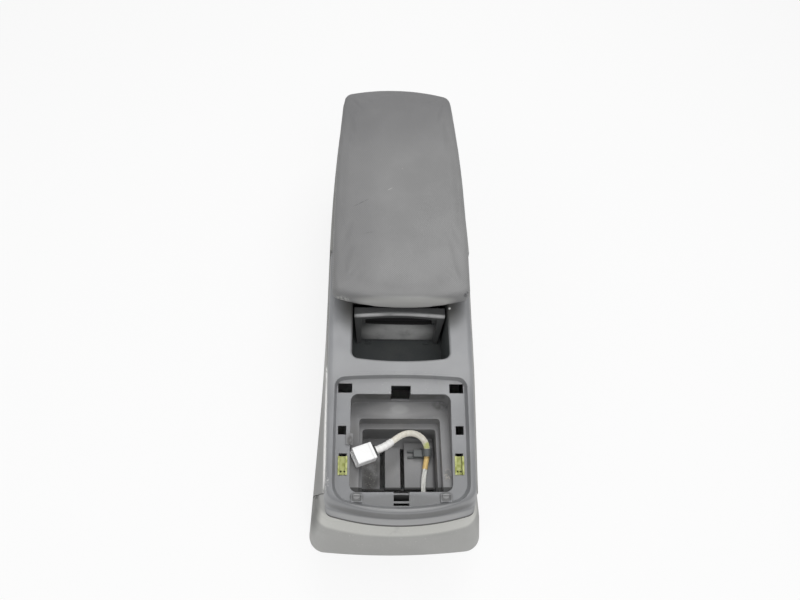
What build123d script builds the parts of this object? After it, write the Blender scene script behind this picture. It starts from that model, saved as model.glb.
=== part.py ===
from build123d import *
import math
import os

# Car centre armrest: a floor console with an open trim recess, a pocket with a sliding tray and a padded lid.
# Millimetres. X across, Y rearwards, Z up, origin on the floor under the middle of the base.

# Outer form: the floor outline, the outline at a reference height, and what joins them
LENGTH = 560.0
BASE_HALF_FRONT = 102.0
BASE_HALF_MIDDLE = 91.5
BASE_HALF_REAR = 84.0
BASE_BOW = 6.0
TOP_HALF_FRONT = 66.0
TOP_HALF_MIDDLE = 80.0
TOP_HALF_REAR = 68.5
TOP_BOW = 20.0
REAR_BOW = 5.0
CORNER_FRONT = 9.0
CORNER_BASE = 20.0
CORNER_LEAST = 1.0
CORNER_REAR = 22.0
FRONT_LEAN = 18.0
REAR_LEAN = 6.0
WALL = 3.0

# Side profile of the top deck
NOSE_LENGTH = 19.0
RECESS_LENGTH = 133.0
WEB_LENGTH = 14.5
POCKET_LENGTH = 69.5
BRIDGE_LENGTH = 62.0
RECESS_SLOPE = 14.2
KNEE_DROP = 4.7
DECK_BACK_SETBACK = 8.0
DECK_BACK_DROP = 15.0
RIM_HEIGHT = 194.0
REFERENCE_RISE = 21.0
DECK_BLEND = 150.0
DECK_EDGE = 6.0
PANEL_SKIN = 3.0
PANEL_DROP = 10.5
PANEL_STEP = 1.5
PARTING_DROP = 22.7
PARTING_RUN = 24.0
PARTING_RISE_RUN = 20.0
PARTING_BLEND = 12.0
NOSE_SETBACK = 3.0
NOSE_CORNER = 16.0
FOOT_HEIGHT = 10.0
FOOT_PROUD = 2.0
FOOT_SIDE_INSET = 0.5
FOOT_CURVE = ((0.0, 1.0), (0.25, 0.45), (0.6, 0.08), (1.0, -0.2))

# Trim recess in the deck, measured along its slope
RECESS_DEPTH = 8.0
RECESS_HALF = 70.5
RECESS_SIDE_BOW = 0.5
RECESS_FAR_BOW = 3.0
RECESS_NEAR_BOW = 10.0
RECESS_CORNER_FAR = 11.0
RECESS_CORNER_NEAR = 20.0
RECESS_WALL_DROP = 0.5
RECESS_DRAFT_RUN = 2.4
LEDGE_THICKNESS = 3.0
APERTURE_HALF = 53.5
APERTURE_FAR = 19.5
APERTURE_NEAR = 17.0
APERTURE_CORNER = 8.0
CATCH_SLOT = (15.0, 10.0)
CATCH_SLOT_X = 59.7
CATCH_SLOT_FAR = 13.4
HOOK_NOTCH_WIDTH = 21.0
HOOK_NOTCH_FAR = 10.5
SQUARE_SLOT = (8.5, 9.0)
SQUARE_SLOT_X = 62.0
SQUARE_SLOT_FAR = 57.8
CLIP_SLOT = (8.2, 22.0)
CLIP_SLOT_X = 60.7
CLIP_SLOT_FAR = 92.6
BOSS_SIZE = (11.5, 8.0)
BOSS_WALL = 1.4
BOSS_HEIGHT = 2.0
BOSS_X = 45.7
BOSS_NEAR = 11.2
LATCH_NOTCH_WIDTH = 16.0
LATCH_NOTCH_NEAR = 3.6
LATCH_BAR = 2.2
LATCH_BAR_NEAR = 7.0

# Front skirt
CREASE_HEIGHT = 30.0
CREASE_SIDE = 1.0
CREASE_SETBACK = 10.5
SHOULDER_RISE = 16.0
SHOULDER_SIDE = 2.0
SHOULDER_SETBACK = 19.5
SHOULDER_CORNER = 20.0
WAIST_SETBACK = 12.0
WAIST_TUCK = 14.0
SEAM_FLOOR_SETBACK = 68.5
SEAM_LEAN = 31.0
SEAM_GAP = 0.5

# Floor tabs of the side housing
TAB_WIDTH = 26.0
TAB_LENGTH = 22.0
TAB_THICKNESS = 3.0
TAB_HOLE_RADIUS = 3.3
TAB_SPACING_X = 140.0
TAB_SPACING_Y = 330.0
TAB_CENTRE_Y = 55.0
RIM_FLANGE = 9.0
HINGE_SHELF = 32.0

# Pocket and its sliding tray
POCKET_HALF = 53.5
POCKET_BOW = 4.0
POCKET_CORNER = 8.0
POCKET_EDGE = 2.4
POCKET_DEPTH = 69.3
LINER_WALL = 2.2
LINER_REAR_LENGTH = 106.0
LINER_REAR_DROP = 7.0
GLIDE_HALF_SPACING = 35.0
GLIDE_WIDTH = 8.0
GLIDE_THICKNESS = 1.0
SLIDE_CLEARANCE = 0.3
DRAWER_FRONT_THICKNESS = 12.0
DRAWER_HALF_TOP = 51.5
DRAWER_HALF_FOOT = 48.5
DRAWER_TOP_DROP = 8.0
DRAWER_FOOT_GAP = 1.2
DRAWER_HANDLE_HEIGHT = 9.0
DRAWER_HANDLE_BOW = 4.0
DRAWER_HANDLE_ROUND = 4.0
DRAWER_PULL_HALF = 43.5
DRAWER_PULL_DEPTH = 7.5
DRAWER_SLOT_HALF = 39.0
DRAWER_SLOT_ROUND = 2.2
DRAWER_PULL_SLOT = 20.0
DRAWER_PULL_FOOT_DEPTH = 5.5
DRAWER_BOX_HALF = 47.5
DRAWER_BOX_LENGTH = 84.0
DRAWER_BOX_HEIGHT = 52.0
DRAWER_BOX_WALL = 2.0
DRAWER_TRAVEL = 48.0
DRAWER_STOP_GAP = 9.0

# Storage bin under the lid
BIN_FLANGE = 2.5
BIN_FLANGE_INSET = 6.0
BIN_FLANGE_REAR_GAP = 24.0
BIN_HALF = 60.0
BIN_FRONT_GAP = 6.0
BIN_REAR_GAP = 44.0
BIN_DEPTH = 142.0
BIN_WALL = 2.5
BIN_CORNER = 14.0
BIN_DRAFT = 2.0
PANEL_JOINT_GAP = 0.5

# Stepped tray below the recess
TRAY_WALL = 2.2
TRAY_TOP_MARGIN = 0.3
TRAY_FAR_ROOM = 3.5
TRAY_LEDGE_DROP = 1.6
TRAY_STEP_DROP = 16.6
TRAY_FLOOR_DROP = 46.6
TRAY_STEP_HALF = 44.0
TRAY_STEP_FAR = 19.5
TRAY_WELL_HALF = 40.5
TRAY_WELL_FAR = 26.0
TRAY_CORNER = 3.5
TRAY_FRONT_SLOT = 16.0
TRAY_RIB_HEIGHT = 5.0
TRAY_RIB_LEFT = (-15.0, 2.0)
TRAY_RIB_RIGHT = (6.5, 38.5)
TRAY_RIB_LEFT_SETBACK = 12.0
TRAY_RIB_RIGHT_SETBACK = 7.0
TRAY_SLOT_WIDTH = 5.5
HOOK_FAR = 61.4
HOOK_LENGTH = 11.5
HOOK_STEM = 2.6
HOOK_ROOT = 3.5
HOOK_HEAD = 1.9
HOOK_REACH = 7.2
HOOK_GAP = 0.3

# Wiring harness that lies in the tray
CORD_DIAMETER = 5.4
CORD_STEPS = [
    (27.0, 10.8, 8.5),
    (27.0, 26.8, 8.5),
    (30.0, 41.3, 10.0),
    (32.5, 54.8, 14.5),
    (30.0, 65.3, 20.5),
    (21.5, 71.3, 26.0),
    (10.5, 71.6, 30.5),
    (0.5, 66.3, 34.5),
    (-9.0, 57.3, 40.0),
    (-18.0, 49.3, 44.8),
    (-27.0, 45.2, 47.4),
]
CORD_BEND_SHARE = 0.45
GROMMET_RADIUS = 6.0
GROMMET_FLANGE_RADIUS = 8.0
GROMMET_FLANGE = 2.0
GROMMET_FIT = 0.1
GROMMET_NECK_WALL = 1.0
CONNECTOR_LENGTH = 22.0
CONNECTOR_WIDTH = 19.0
CONNECTOR_HEIGHT = 11.0
CONNECTOR_NECK = 3.0
CONNECTOR_NECK_WIDTH = 11.4
CONNECTOR_NECK_WALL = 1.0
CONNECTOR_NECK_ROUND = 2.0
CONNECTOR_ROUND = 1.5
CONNECTOR_WALL = 1.5
CONNECTOR_CAVITY = 8.0
CONNECTOR_CAVITY_ROUND = 1.0
RETAINER_RUN_COUNT = 3
RETAINER_LENGTH = 8.0
RETAINER_WALL = 2.2
RETAINER_ARM = 15.0
RETAINER_ARM_HEIGHT = 7.0
RETAINER_FIT = 0.5
RETAINER_PRONG = 6.5
RETAINER_PRONG_WIDTH = 1.8
RETAINER_PRONG_HEIGHT = 3.0

# Panel spring clips
CLIP_WIDTH = 7.4
CLIP_LENGTH = 19.0
CLIP_SHEET = 0.8
CLIP_DEPTH = 5.0
CLIP_LIP = 1.2
CLIP_HOLE_RADIUS = 0.9
CLIP_HOLE_SETBACK = 3.6

# Lid
LID_FRONT_SETBACK = 216.0
LID_REAR_GAP = 13.0
LID_HALF_FRONT = 75.5
LID_HALF_MIDDLE = 77.5
LID_HALF_REAR = 70.5
LID_FRONT_BOW = 12.0
LID_REAR_BOW = 9.0
LID_CORNER_FRONT = 9.0
LID_CORNER_REAR = 13.0
LID_GAP = 5.0
LID_FRONT_THICKNESS = 22.0
LID_MIDDLE_THICKNESS = 29.0
LID_REAR_THICKNESS = 24.0
LID_CROWN = 4.0
LID_EDGE = 8.0
LID_LOWER_EDGE = 4.0
LID_BASE_INSET = 6.0
LID_BASE_PLATE = 2.5
LID_BASE_RIM = 4.0
LID_BASE_RIM_WIDTH = 4.0
LID_BASE_REAR_GAP = 26.0
LID_FIT = 0.4
LID_RIB_COUNT = 4
LID_RIB_START = 29.0
LID_RIB_PITCH = 55.0
LID_RIB_WIDTH = 3.0
BUMPER_RADIUS = 5.0
BUMPER_X = 50.0
BUMPER_SETBACK = 14.0
BUMPER_CLEARANCE = 0.3

# Hinge
HINGE_REAR_GAP = 18.0
HINGE_OVER_PLATE = 4.0
PIN_RADIUS = 2.5
PIN_CLEARANCE = 0.06
KNUCKLE_RADIUS = 5.0
EAR_THICKNESS = 3.0
EAR_GAP = 0.4
KNUCKLE_HALF = 36.0
PIN_HEAD = 1.6
PIN_HEAD_RADIUS = 3.6
BRACKET_PLATE = 2.0
BRACKET_FRONT = 5.5
BRACKET_REAR = 10.5
BRACKET_HALF = 54.0
LEAF_SHEET = 2.0
LEAF_LENGTH = 62.0
LEAF_ROOM = 0.3
SCREW_RADIUS = 1.6
SCREW_HEAD_RADIUS = 3.2
SCREW_HEAD = 1.5
SCREW_FIT = 0.2
LEAF_SCREW_X = 26.0
LEAF_SCREW_ROWS = (40.0, 56.0)
BRACKET_SCREW_X = 47.0
BRACKET_SCREW_ROWS = (-1.8, 6.2)
BRACKET_SCREW_LENGTH = 8.0
HINGE_ROOM = 1.5

# Stations and heights, worked out from the sizes above
SLOPE = math.tan(math.radians(RECESS_SLOPE))
SLOPE_COS = math.cos(math.radians(RECESS_SLOPE))
REFERENCE_HEIGHT = RIM_HEIGHT + REFERENCE_RISE
DECK_BACK_HEIGHT = RIM_HEIGHT - DECK_BACK_DROP
KNEE_HEIGHT = DECK_BACK_HEIGHT - KNEE_DROP
LEDGE_NEAR_HEIGHT = KNEE_HEIGHT - SLOPE * RECESS_LENGTH - RECESS_DEPTH
PARTING_HEIGHT = LEDGE_NEAR_HEIGHT - PARTING_DROP
SHOULDER_HEIGHT = CREASE_HEIGHT + SHOULDER_RISE
POCKET_FLOOR = KNEE_HEIGHT - POCKET_DEPTH
LINER_REAR_HEIGHT = DECK_BACK_HEIGHT - LINER_REAR_DROP
DRAWER_TOP = DECK_BACK_HEIGHT - DRAWER_TOP_DROP
BIN_FLOOR = RIM_HEIGHT - BIN_DEPTH
TRAY_LEDGE_HEIGHT = LEDGE_NEAR_HEIGHT - TRAY_LEDGE_DROP
TRAY_STEP_HEIGHT = LEDGE_NEAR_HEIGHT - TRAY_STEP_DROP
TRAY_FLOOR_HEIGHT = LEDGE_NEAR_HEIGHT - TRAY_FLOOR_DROP
FRONT_Y = -LENGTH / 2
REAR_Y = LENGTH / 2
RECESS_NEAR_Y = FRONT_Y + NOSE_LENGTH
KNEE_Y = RECESS_NEAR_Y + RECESS_LENGTH
POCKET_FRONT_Y = KNEE_Y + WEB_LENGTH
BRIDGE_Y = POCKET_FRONT_Y + POCKET_LENGTH
PANEL_REAR_Y = BRIDGE_Y + BRIDGE_LENGTH
DECK_BACK_Y = BRIDGE_Y - DECK_BACK_SETBACK
LINER_REAR_Y = BRIDGE_Y + LINER_REAR_LENGTH
LID_FRONT_Y = FRONT_Y + LID_FRONT_SETBACK
LID_REAR_Y = REAR_Y - LID_REAR_GAP
LID_BASE_REAR_Y = LID_REAR_Y - LID_BASE_REAR_GAP
LID_UNDERSIDE = RIM_HEIGHT + LID_GAP
LID_TOP_FRONT = LID_UNDERSIDE + LID_FRONT_THICKNESS
LID_TOP_MIDDLE = LID_UNDERSIDE + LID_MIDDLE_THICKNESS
LID_TOP_REAR = LID_UNDERSIDE + LID_REAR_THICKNESS
LID_PLATE_TOP = LID_UNDERSIDE + LID_BASE_RIM
HINGE_HEIGHT = LID_PLATE_TOP + HINGE_OVER_PLATE
HINGE_Y = REAR_Y - HINGE_REAR_GAP
DRAWER_FACE_Y = POCKET_FRONT_Y + DRAWER_STOP_GAP + DRAWER_TRAVEL
DRAWER_BOX_Y = DRAWER_FACE_Y + DRAWER_FRONT_THICKNESS
DRAWER_FOOT = POCKET_FLOOR + GLIDE_THICKNESS + SLIDE_CLEARANCE
TRAY_FRONT_Y = RECESS_NEAR_Y + APERTURE_NEAR * SLOPE_COS - TRAY_TOP_MARGIN
CORD_ROUTE = [(x, TRAY_FRONT_Y + back, TRAY_FLOOR_HEIGHT + rise) for x, back, rise in CORD_STEPS]
FAR = LENGTH


def lerp(start, end, share):
    """Value a share of the way from start to end."""
    return start + (end - start) * share


def bowed_outline(half_front, half_middle, half_rear, front_y, rear_y, front_bow, rear_bow, r_front, r_rear):
    """Plan outline of four bowed sides with rounded corners."""
    front_right = (half_front, front_y + front_bow)
    rear_right = (half_rear, rear_y - rear_bow)
    front_left = (-half_front, front_y + front_bow)
    rear_left = (-half_rear, rear_y - rear_bow)
    middle_y = (front_right[1] + rear_right[1]) / 2
    face = make_face(
        [
            ThreePointArc(front_left, (0, front_y), front_right),
            ThreePointArc(front_right, (half_middle, middle_y), rear_right),
            ThreePointArc(rear_right, (0, rear_y), rear_left),
            ThreePointArc(rear_left, (-half_middle, middle_y), front_left),
        ]
    )
    by_y = face.vertices().sort_by(Axis.Y)
    face = fillet(by_y[:2], r_front)
    by_y = face.vertices().sort_by(Axis.Y)
    return fillet(by_y[-2:], r_rear)


def body_section(height, inset=0.0, side=0.0, setback=0.0, corner=None):
    """Plan outline of the console body at a height.

    It is moved inwards by inset, outwards at the sides by side, and back at the front by setback.
    """
    share = height / REFERENCE_HEIGHT
    if corner is None:
        corner = lerp(CORNER_BASE, CORNER_FRONT, share)
    outline = bowed_outline(
        lerp(BASE_HALF_FRONT, TOP_HALF_FRONT, share) + side - inset,
        lerp(BASE_HALF_MIDDLE, TOP_HALF_MIDDLE, share) + side - inset,
        lerp(BASE_HALF_REAR, TOP_HALF_REAR, share) + side - inset,
        FRONT_Y + FRONT_LEAN * share + inset + setback,
        REAR_Y - REAR_LEAN * (1 - height / RIM_HEIGHT) - inset,
        lerp(BASE_BOW, TOP_BOW, share),
        REAR_BOW,
        max(corner - inset, CORNER_LEAST),
        CORNER_REAR - inset,
    )
    return Pos(0, 0, height) * outline


def body_solid(inset=0.0):
    """The console's outer form, or the space inside its walls."""
    return loft([body_section(0, inset), body_section(REFERENCE_HEIGHT, inset)], ruled=True)


def panel_section(height, inset=0.0, side=0.0, proud=0.0):
    """Plan outline of the upper panel at a height, a step inside the walls."""
    return body_section(height, inset + PANEL_STEP, side, NOSE_SETBACK - PANEL_STEP - proud, NOSE_CORNER)


def panel_solid(inset=0.0):
    """The upper panel's outer form without its foot."""
    return loft([panel_section(0, inset), panel_section(REFERENCE_HEIGHT, inset)], ruled=True)


def panel_foot(inset=0.0):
    """The flared foot across the panel's nose."""
    sections = []
    for rise, share in FOOT_CURVE:
        height = PARTING_HEIGHT + FOOT_HEIGHT * rise
        proud = (FOOT_PROUD + NOSE_SETBACK) * share
        sections.append(panel_section(height, inset, -FOOT_SIDE_INSET, proud))
    return loft(sections)


def skirt_solid(inset=0.0):
    """The front skirt's outer form: a flared foot with a crease, and a waist that tucks in under the panel."""
    sections = [
        body_section(0, inset),
        body_section(CREASE_HEIGHT, inset, CREASE_SIDE, CREASE_SETBACK, CORNER_BASE),
        body_section(SHOULDER_HEIGHT, inset, -SHOULDER_SIDE, SHOULDER_SETBACK, SHOULDER_CORNER),
        body_section(PARTING_HEIGHT + WAIST_TUCK, inset, 0, WAIST_SETBACK, CORNER_FRONT),
    ]
    return loft(sections, ruled=True)


def side_prism(points, radii, half_width=FAR):
    """Solid of a closed side profile given as (y, z) points."""
    face = make_face(FilletPolyline(*points, radius=radii, close=True))
    return extrude(Plane.YZ * face, amount=half_width, both=True)


def knee_line_z(y):
    """Height of the sloped deck in front of the knee."""
    return KNEE_HEIGHT + SLOPE * (y - KNEE_Y)


def below_deck(drop=0.0):
    """Everything below the deck surface lowered by drop."""
    points = [
        (-FAR, knee_line_z(-FAR) - drop),
        (KNEE_Y, KNEE_HEIGHT - drop),
        (DECK_BACK_Y, DECK_BACK_HEIGHT - drop),
        (PANEL_REAR_Y, RIM_HEIGHT - drop),
        (FAR, RIM_HEIGHT - drop),
        (FAR, -FAR),
        (-FAR, -FAR),
    ]
    return side_prism(points, [0, DECK_BLEND, DECK_BLEND, DECK_BLEND, 0, 0, 0])


def below_parting():
    """Everything below the seam between the upper panel and what carries it."""
    flat_end_y = FRONT_Y + PARTING_RUN
    rise_end_y = flat_end_y + PARTING_RISE_RUN
    points = [
        (-FAR, PARTING_HEIGHT),
        (flat_end_y, PARTING_HEIGHT),
        (rise_end_y, knee_line_z(rise_end_y) - PANEL_DROP),
        (KNEE_Y, KNEE_HEIGHT - PANEL_DROP),
        (DECK_BACK_Y, DECK_BACK_HEIGHT - PANEL_DROP),
        (PANEL_REAR_Y, RIM_HEIGHT - PANEL_DROP),
        (FAR, RIM_HEIGHT - PANEL_DROP),
        (FAR, -FAR),
        (-FAR, -FAR),
    ]
    radii = [0, PARTING_BLEND, PARTING_BLEND, DECK_BLEND, DECK_BLEND, DECK_BLEND, 0, 0, 0]
    return side_prism(points, radii)


def block(x0, x1, y0, y1, z0, z1):
    """Box between two corners."""
    middle = ((x0 + x1) / 2, (y0 + y1) / 2, (z0 + z1) / 2)
    return Pos(*middle) * Box(x1 - x0, y1 - y0, z1 - z0)


def drilled(x, y, z, radius, reach):
    """Upright hole that reaches as far above a point as below it."""
    return Pos(x, y, z) * Cylinder(radius, 2 * reach)


def rim_edges(solid):
    """Edges round the faces of a solid that look up, without those that two such faces share."""
    edges = []
    for face in solid.faces():
        normal = face.normal_at()
        if normal.Z > max(abs(normal.X), abs(normal.Y)):
            edges += face.edges()
    return [edge for edge in edges if sum(edge.is_same(other) for other in edges) == 1]


def rod(start, direction, radius, length):
    """Round bar from a point along a direction."""
    plane = Plane(origin=start, z_dir=direction)
    return extrude(plane * Circle(radius), amount=length)


# Recess plane: local X across, local Y up the slope from the recess's near edge, local Z out of the deck
RECESS_RUN = RECESS_LENGTH / SLOPE_COS
LEDGE_PLANE = Plane(
    origin=(0, RECESS_NEAR_Y, knee_line_z(RECESS_NEAR_Y) - RECESS_DEPTH),
    x_dir=(1, 0, 0),
    z_dir=(0, -math.sin(math.radians(RECESS_SLOPE)), SLOPE_COS),
)
DECK_OVER_LEDGE = RECESS_DEPTH * SLOPE_COS


def recess_outline(grow=0.0):
    """Outline of the trim recess in its own plane."""
    return bowed_outline(
        RECESS_HALF + grow,
        RECESS_HALF + grow + RECESS_SIDE_BOW,
        RECESS_HALF + grow,
        -grow,
        RECESS_RUN + grow,
        RECESS_NEAR_BOW,
        RECESS_FAR_BOW,
        RECESS_CORNER_NEAR + grow,
        RECESS_CORNER_FAR + grow,
    )


def aperture_outline(grow=0.0):
    """Outline of the opening inside the ledge."""
    length = RECESS_RUN - APERTURE_FAR - APERTURE_NEAR
    centre = APERTURE_NEAR + length / 2
    return Pos(0, centre) * RectangleRounded(
        2 * (APERTURE_HALF + grow), length + 2 * grow, APERTURE_CORNER + grow
    )


def ledge_slots():
    """Openings through the ledge, as one sketch in the recess plane."""
    slots = Sketch()
    for side in (-1, 1):
        slots += Pos(side * CATCH_SLOT_X, RECESS_RUN - CATCH_SLOT_FAR) * Rectangle(*CATCH_SLOT)
        slots += Pos(side * SQUARE_SLOT_X, RECESS_RUN - SQUARE_SLOT_FAR) * Rectangle(*SQUARE_SLOT)
        slots += Pos(side * CLIP_SLOT_X, RECESS_RUN - CLIP_SLOT_FAR) * Rectangle(*CLIP_SLOT)
    notch_length = APERTURE_FAR - HOOK_NOTCH_FAR + APERTURE_CORNER
    notch_y = RECESS_RUN - HOOK_NOTCH_FAR - notch_length / 2
    slots += Pos(0, notch_y) * Rectangle(HOOK_NOTCH_WIDTH, notch_length)
    latch_length = APERTURE_NEAR - LATCH_NOTCH_NEAR + APERTURE_CORNER
    latch_y = LATCH_NOTCH_NEAR + latch_length / 2
    latch = Pos(0, latch_y) * Rectangle(LATCH_NOTCH_WIDTH, latch_length)
    bar = Pos(0, LATCH_BAR_NEAR) * Rectangle(LATCH_NOTCH_WIDTH, LATCH_BAR)
    return slots + (latch - bar)


def upper_panel():
    """Top deck with its rounded edge, trim recess, slotted ledge and pocket opening."""
    slab = (panel_solid() & below_deck()) - below_parting()
    slab = slab & block(-FAR, FAR, -FAR, PANEL_REAR_Y, 0, FAR)
    outer = [edge for edge in rim_edges(slab) if edge.center().Y < PANEL_REAR_Y - PANEL_JOINT_GAP]
    slab = fillet(outer, DECK_EDGE) + (panel_foot() - below_parting())
    panel = slab - (panel_solid(WALL) & below_deck(PANEL_SKIN)) - panel_foot(WALL)
    cup = extrude(LEDGE_PLANE * recess_outline(LEDGE_THICKNESS), amount=DECK_OVER_LEDGE - RECESS_WALL_DROP)
    cup += extrude(LEDGE_PLANE * recess_outline(LEDGE_THICKNESS), amount=-LEDGE_THICKNESS)
    panel += cup & panel_solid(WALL / 2)
    deck_plane = LEDGE_PLANE.offset(DECK_OVER_LEDGE)
    panel -= loft([LEDGE_PLANE * recess_outline(-RECESS_DRAFT_RUN), deck_plane * recess_outline()], ruled=True)
    panel -= extrude(deck_plane * recess_outline(), amount=FAR)
    for side in (-1, 1):
        frame = Rectangle(*BOSS_SIZE) - Rectangle(BOSS_SIZE[0] - 2 * BOSS_WALL, BOSS_SIZE[1] - 2 * BOSS_WALL)
        panel += extrude(LEDGE_PLANE * Pos(side * BOSS_X, BOSS_NEAR) * frame, amount=BOSS_HEIGHT)
    openings = aperture_outline() + ledge_slots()
    panel -= extrude(LEDGE_PLANE * openings, amount=LEDGE_THICKNESS * 2, both=True)
    panel -= extrude(Pos(0, 0, POCKET_FLOOR) * pocket_outline(0.0, BRIDGE_Y), amount=FAR)
    rim = [edge for edge in rim_edges(panel) if on_pocket_rim(edge.center())]
    return fillet(rim, POCKET_EDGE)


def on_pocket_rim(place):
    """Whether a point lies on the front or side edge of the pocket's opening."""
    beside = abs(place.X) < POCKET_HALF + PANEL_SKIN
    between = POCKET_FRONT_Y - PANEL_SKIN < place.Y < BRIDGE_Y - PANEL_SKIN
    return beside and between and place.Z > KNEE_HEIGHT - PANEL_SKIN / 2


def pocket_outline(grow, rear_y):
    """Plan outline of the pocket, from its bowed front edge to a station behind it."""
    front_y = POCKET_FRONT_Y - grow
    half = POCKET_HALF + grow
    corner_y = front_y + POCKET_BOW
    front = ThreePointArc((-half, corner_y), (0, front_y), (half, corner_y))
    sides = Polyline((half, corner_y), (half, rear_y + grow), (-half, rear_y + grow), (-half, corner_y))
    face = make_face([front, sides])
    return fillet(face.vertices().sort_by(Axis.Y)[:2], POCKET_CORNER + grow)


def pocket_liner():
    """Dark moulding that forms the pocket and the bay of its sliding tray."""
    floor_z = POCKET_FLOOR - LINER_WALL
    outer = extrude(Pos(0, 0, floor_z) * pocket_outline(LINER_WALL, LINER_REAR_Y), amount=FAR)
    inner = extrude(Pos(0, 0, POCKET_FLOOR) * pocket_outline(0.0, LINER_REAR_Y), amount=FAR)
    liner = (outer - inner) & below_deck(PANEL_SKIN)
    return liner - block(-FAR, FAR, BRIDGE_Y, FAR, LINER_REAR_HEIGHT, FAR)


def side_housing():
    """Side and rear walls with the rim under the lid and four floor tabs."""
    solid = body_solid()
    walls = solid - body_solid(WALL)
    front_part = below_parting() & block(-FAR, FAR, -FAR, PANEL_REAR_Y, -FAR, FAR)
    rear_part = block(-FAR, FAR, PANEL_REAR_Y, FAR, -FAR, RIM_HEIGHT)
    behind_seam = skirt_seam(SEAM_GAP)
    housing = (walls & (front_part + rear_part)) & behind_seam
    rim_slab = block(-FAR, FAR, PANEL_REAR_Y, FAR, RIM_HEIGHT - WALL, RIM_HEIGHT)
    housing += (body_solid(WALL / 2) - body_solid(RIM_FLANGE)) & rim_slab
    housing += body_solid(WALL / 2) & rim_slab & block(-FAR, FAR, REAR_Y - HINGE_SHELF, FAR, 0, FAR)
    for x, y in bracket_screw_places():
        housing -= drilled(x, y, RIM_HEIGHT, SCREW_RADIUS + SCREW_FIT, 2 * WALL)
    for tab_x in (-TAB_SPACING_X / 2, TAB_SPACING_X / 2):
        outer_x = math.copysign(BASE_HALF_FRONT, tab_x)
        inner_x = math.copysign(TAB_SPACING_X / 2 - TAB_WIDTH / 2, tab_x)
        for tab_y in (TAB_CENTRE_Y - TAB_SPACING_Y / 2, TAB_CENTRE_Y + TAB_SPACING_Y / 2):
            low, high = sorted((inner_x, outer_x))
            tab = block(low, high, tab_y - TAB_LENGTH / 2, tab_y + TAB_LENGTH / 2, 0, TAB_THICKNESS)
            housing += tab & body_solid(WALL / 2)
            housing -= drilled(tab_x, tab_y, 0, TAB_HOLE_RADIUS, 2 * TAB_THICKNESS)
    return housing


def skirt_seam(gap):
    """Everything behind the leaning seam between the skirt and the side walls."""
    floor_y = FRONT_Y + SEAM_FLOOR_SETBACK + gap
    lean = SEAM_LEAN / (PARTING_HEIGHT + WAIST_TUCK)
    points = [
        (floor_y + lean * FAR, -FAR),
        (floor_y - lean * FAR, FAR),
        (FAR, FAR),
        (FAR, -FAR),
    ]
    return side_prism(points, [0, 0, 0, 0])


def front_skirt():
    """Flared front moulding with a crease across its face."""
    skirt = (skirt_solid() - skirt_solid(WALL)) & below_parting()
    return skirt - skirt_seam(0.0)


def storage_bin():
    """Deep bin that hangs by its flange on the housing's rim."""
    flange = body_solid(BIN_FLANGE_INSET) & block(
        -FAR,
        FAR,
        PANEL_REAR_Y + PANEL_JOINT_GAP,
        REAR_Y - BIN_FLANGE_REAR_GAP,
        RIM_HEIGHT,
        RIM_HEIGHT + BIN_FLANGE,
    )
    front_y = LINER_REAR_Y + LINER_WALL + BIN_FRONT_GAP
    rear_y = REAR_Y - BIN_REAR_GAP
    top = Plane((0, (front_y + rear_y) / 2, RIM_HEIGHT + BIN_FLANGE))
    depth = RIM_HEIGHT + BIN_FLANGE - BIN_FLOOR
    inner = RectangleRounded(2 * BIN_HALF, rear_y - front_y, BIN_CORNER)
    outer = RectangleRounded(
        2 * (BIN_HALF + BIN_WALL), rear_y - front_y + 2 * BIN_WALL, BIN_CORNER + BIN_WALL
    )
    well = extrude(top * outer, amount=-depth, taper=BIN_DRAFT)
    hollow = extrude(top * inner, amount=-(depth - BIN_WALL), taper=BIN_DRAFT)
    return flange + well - hollow


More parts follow.
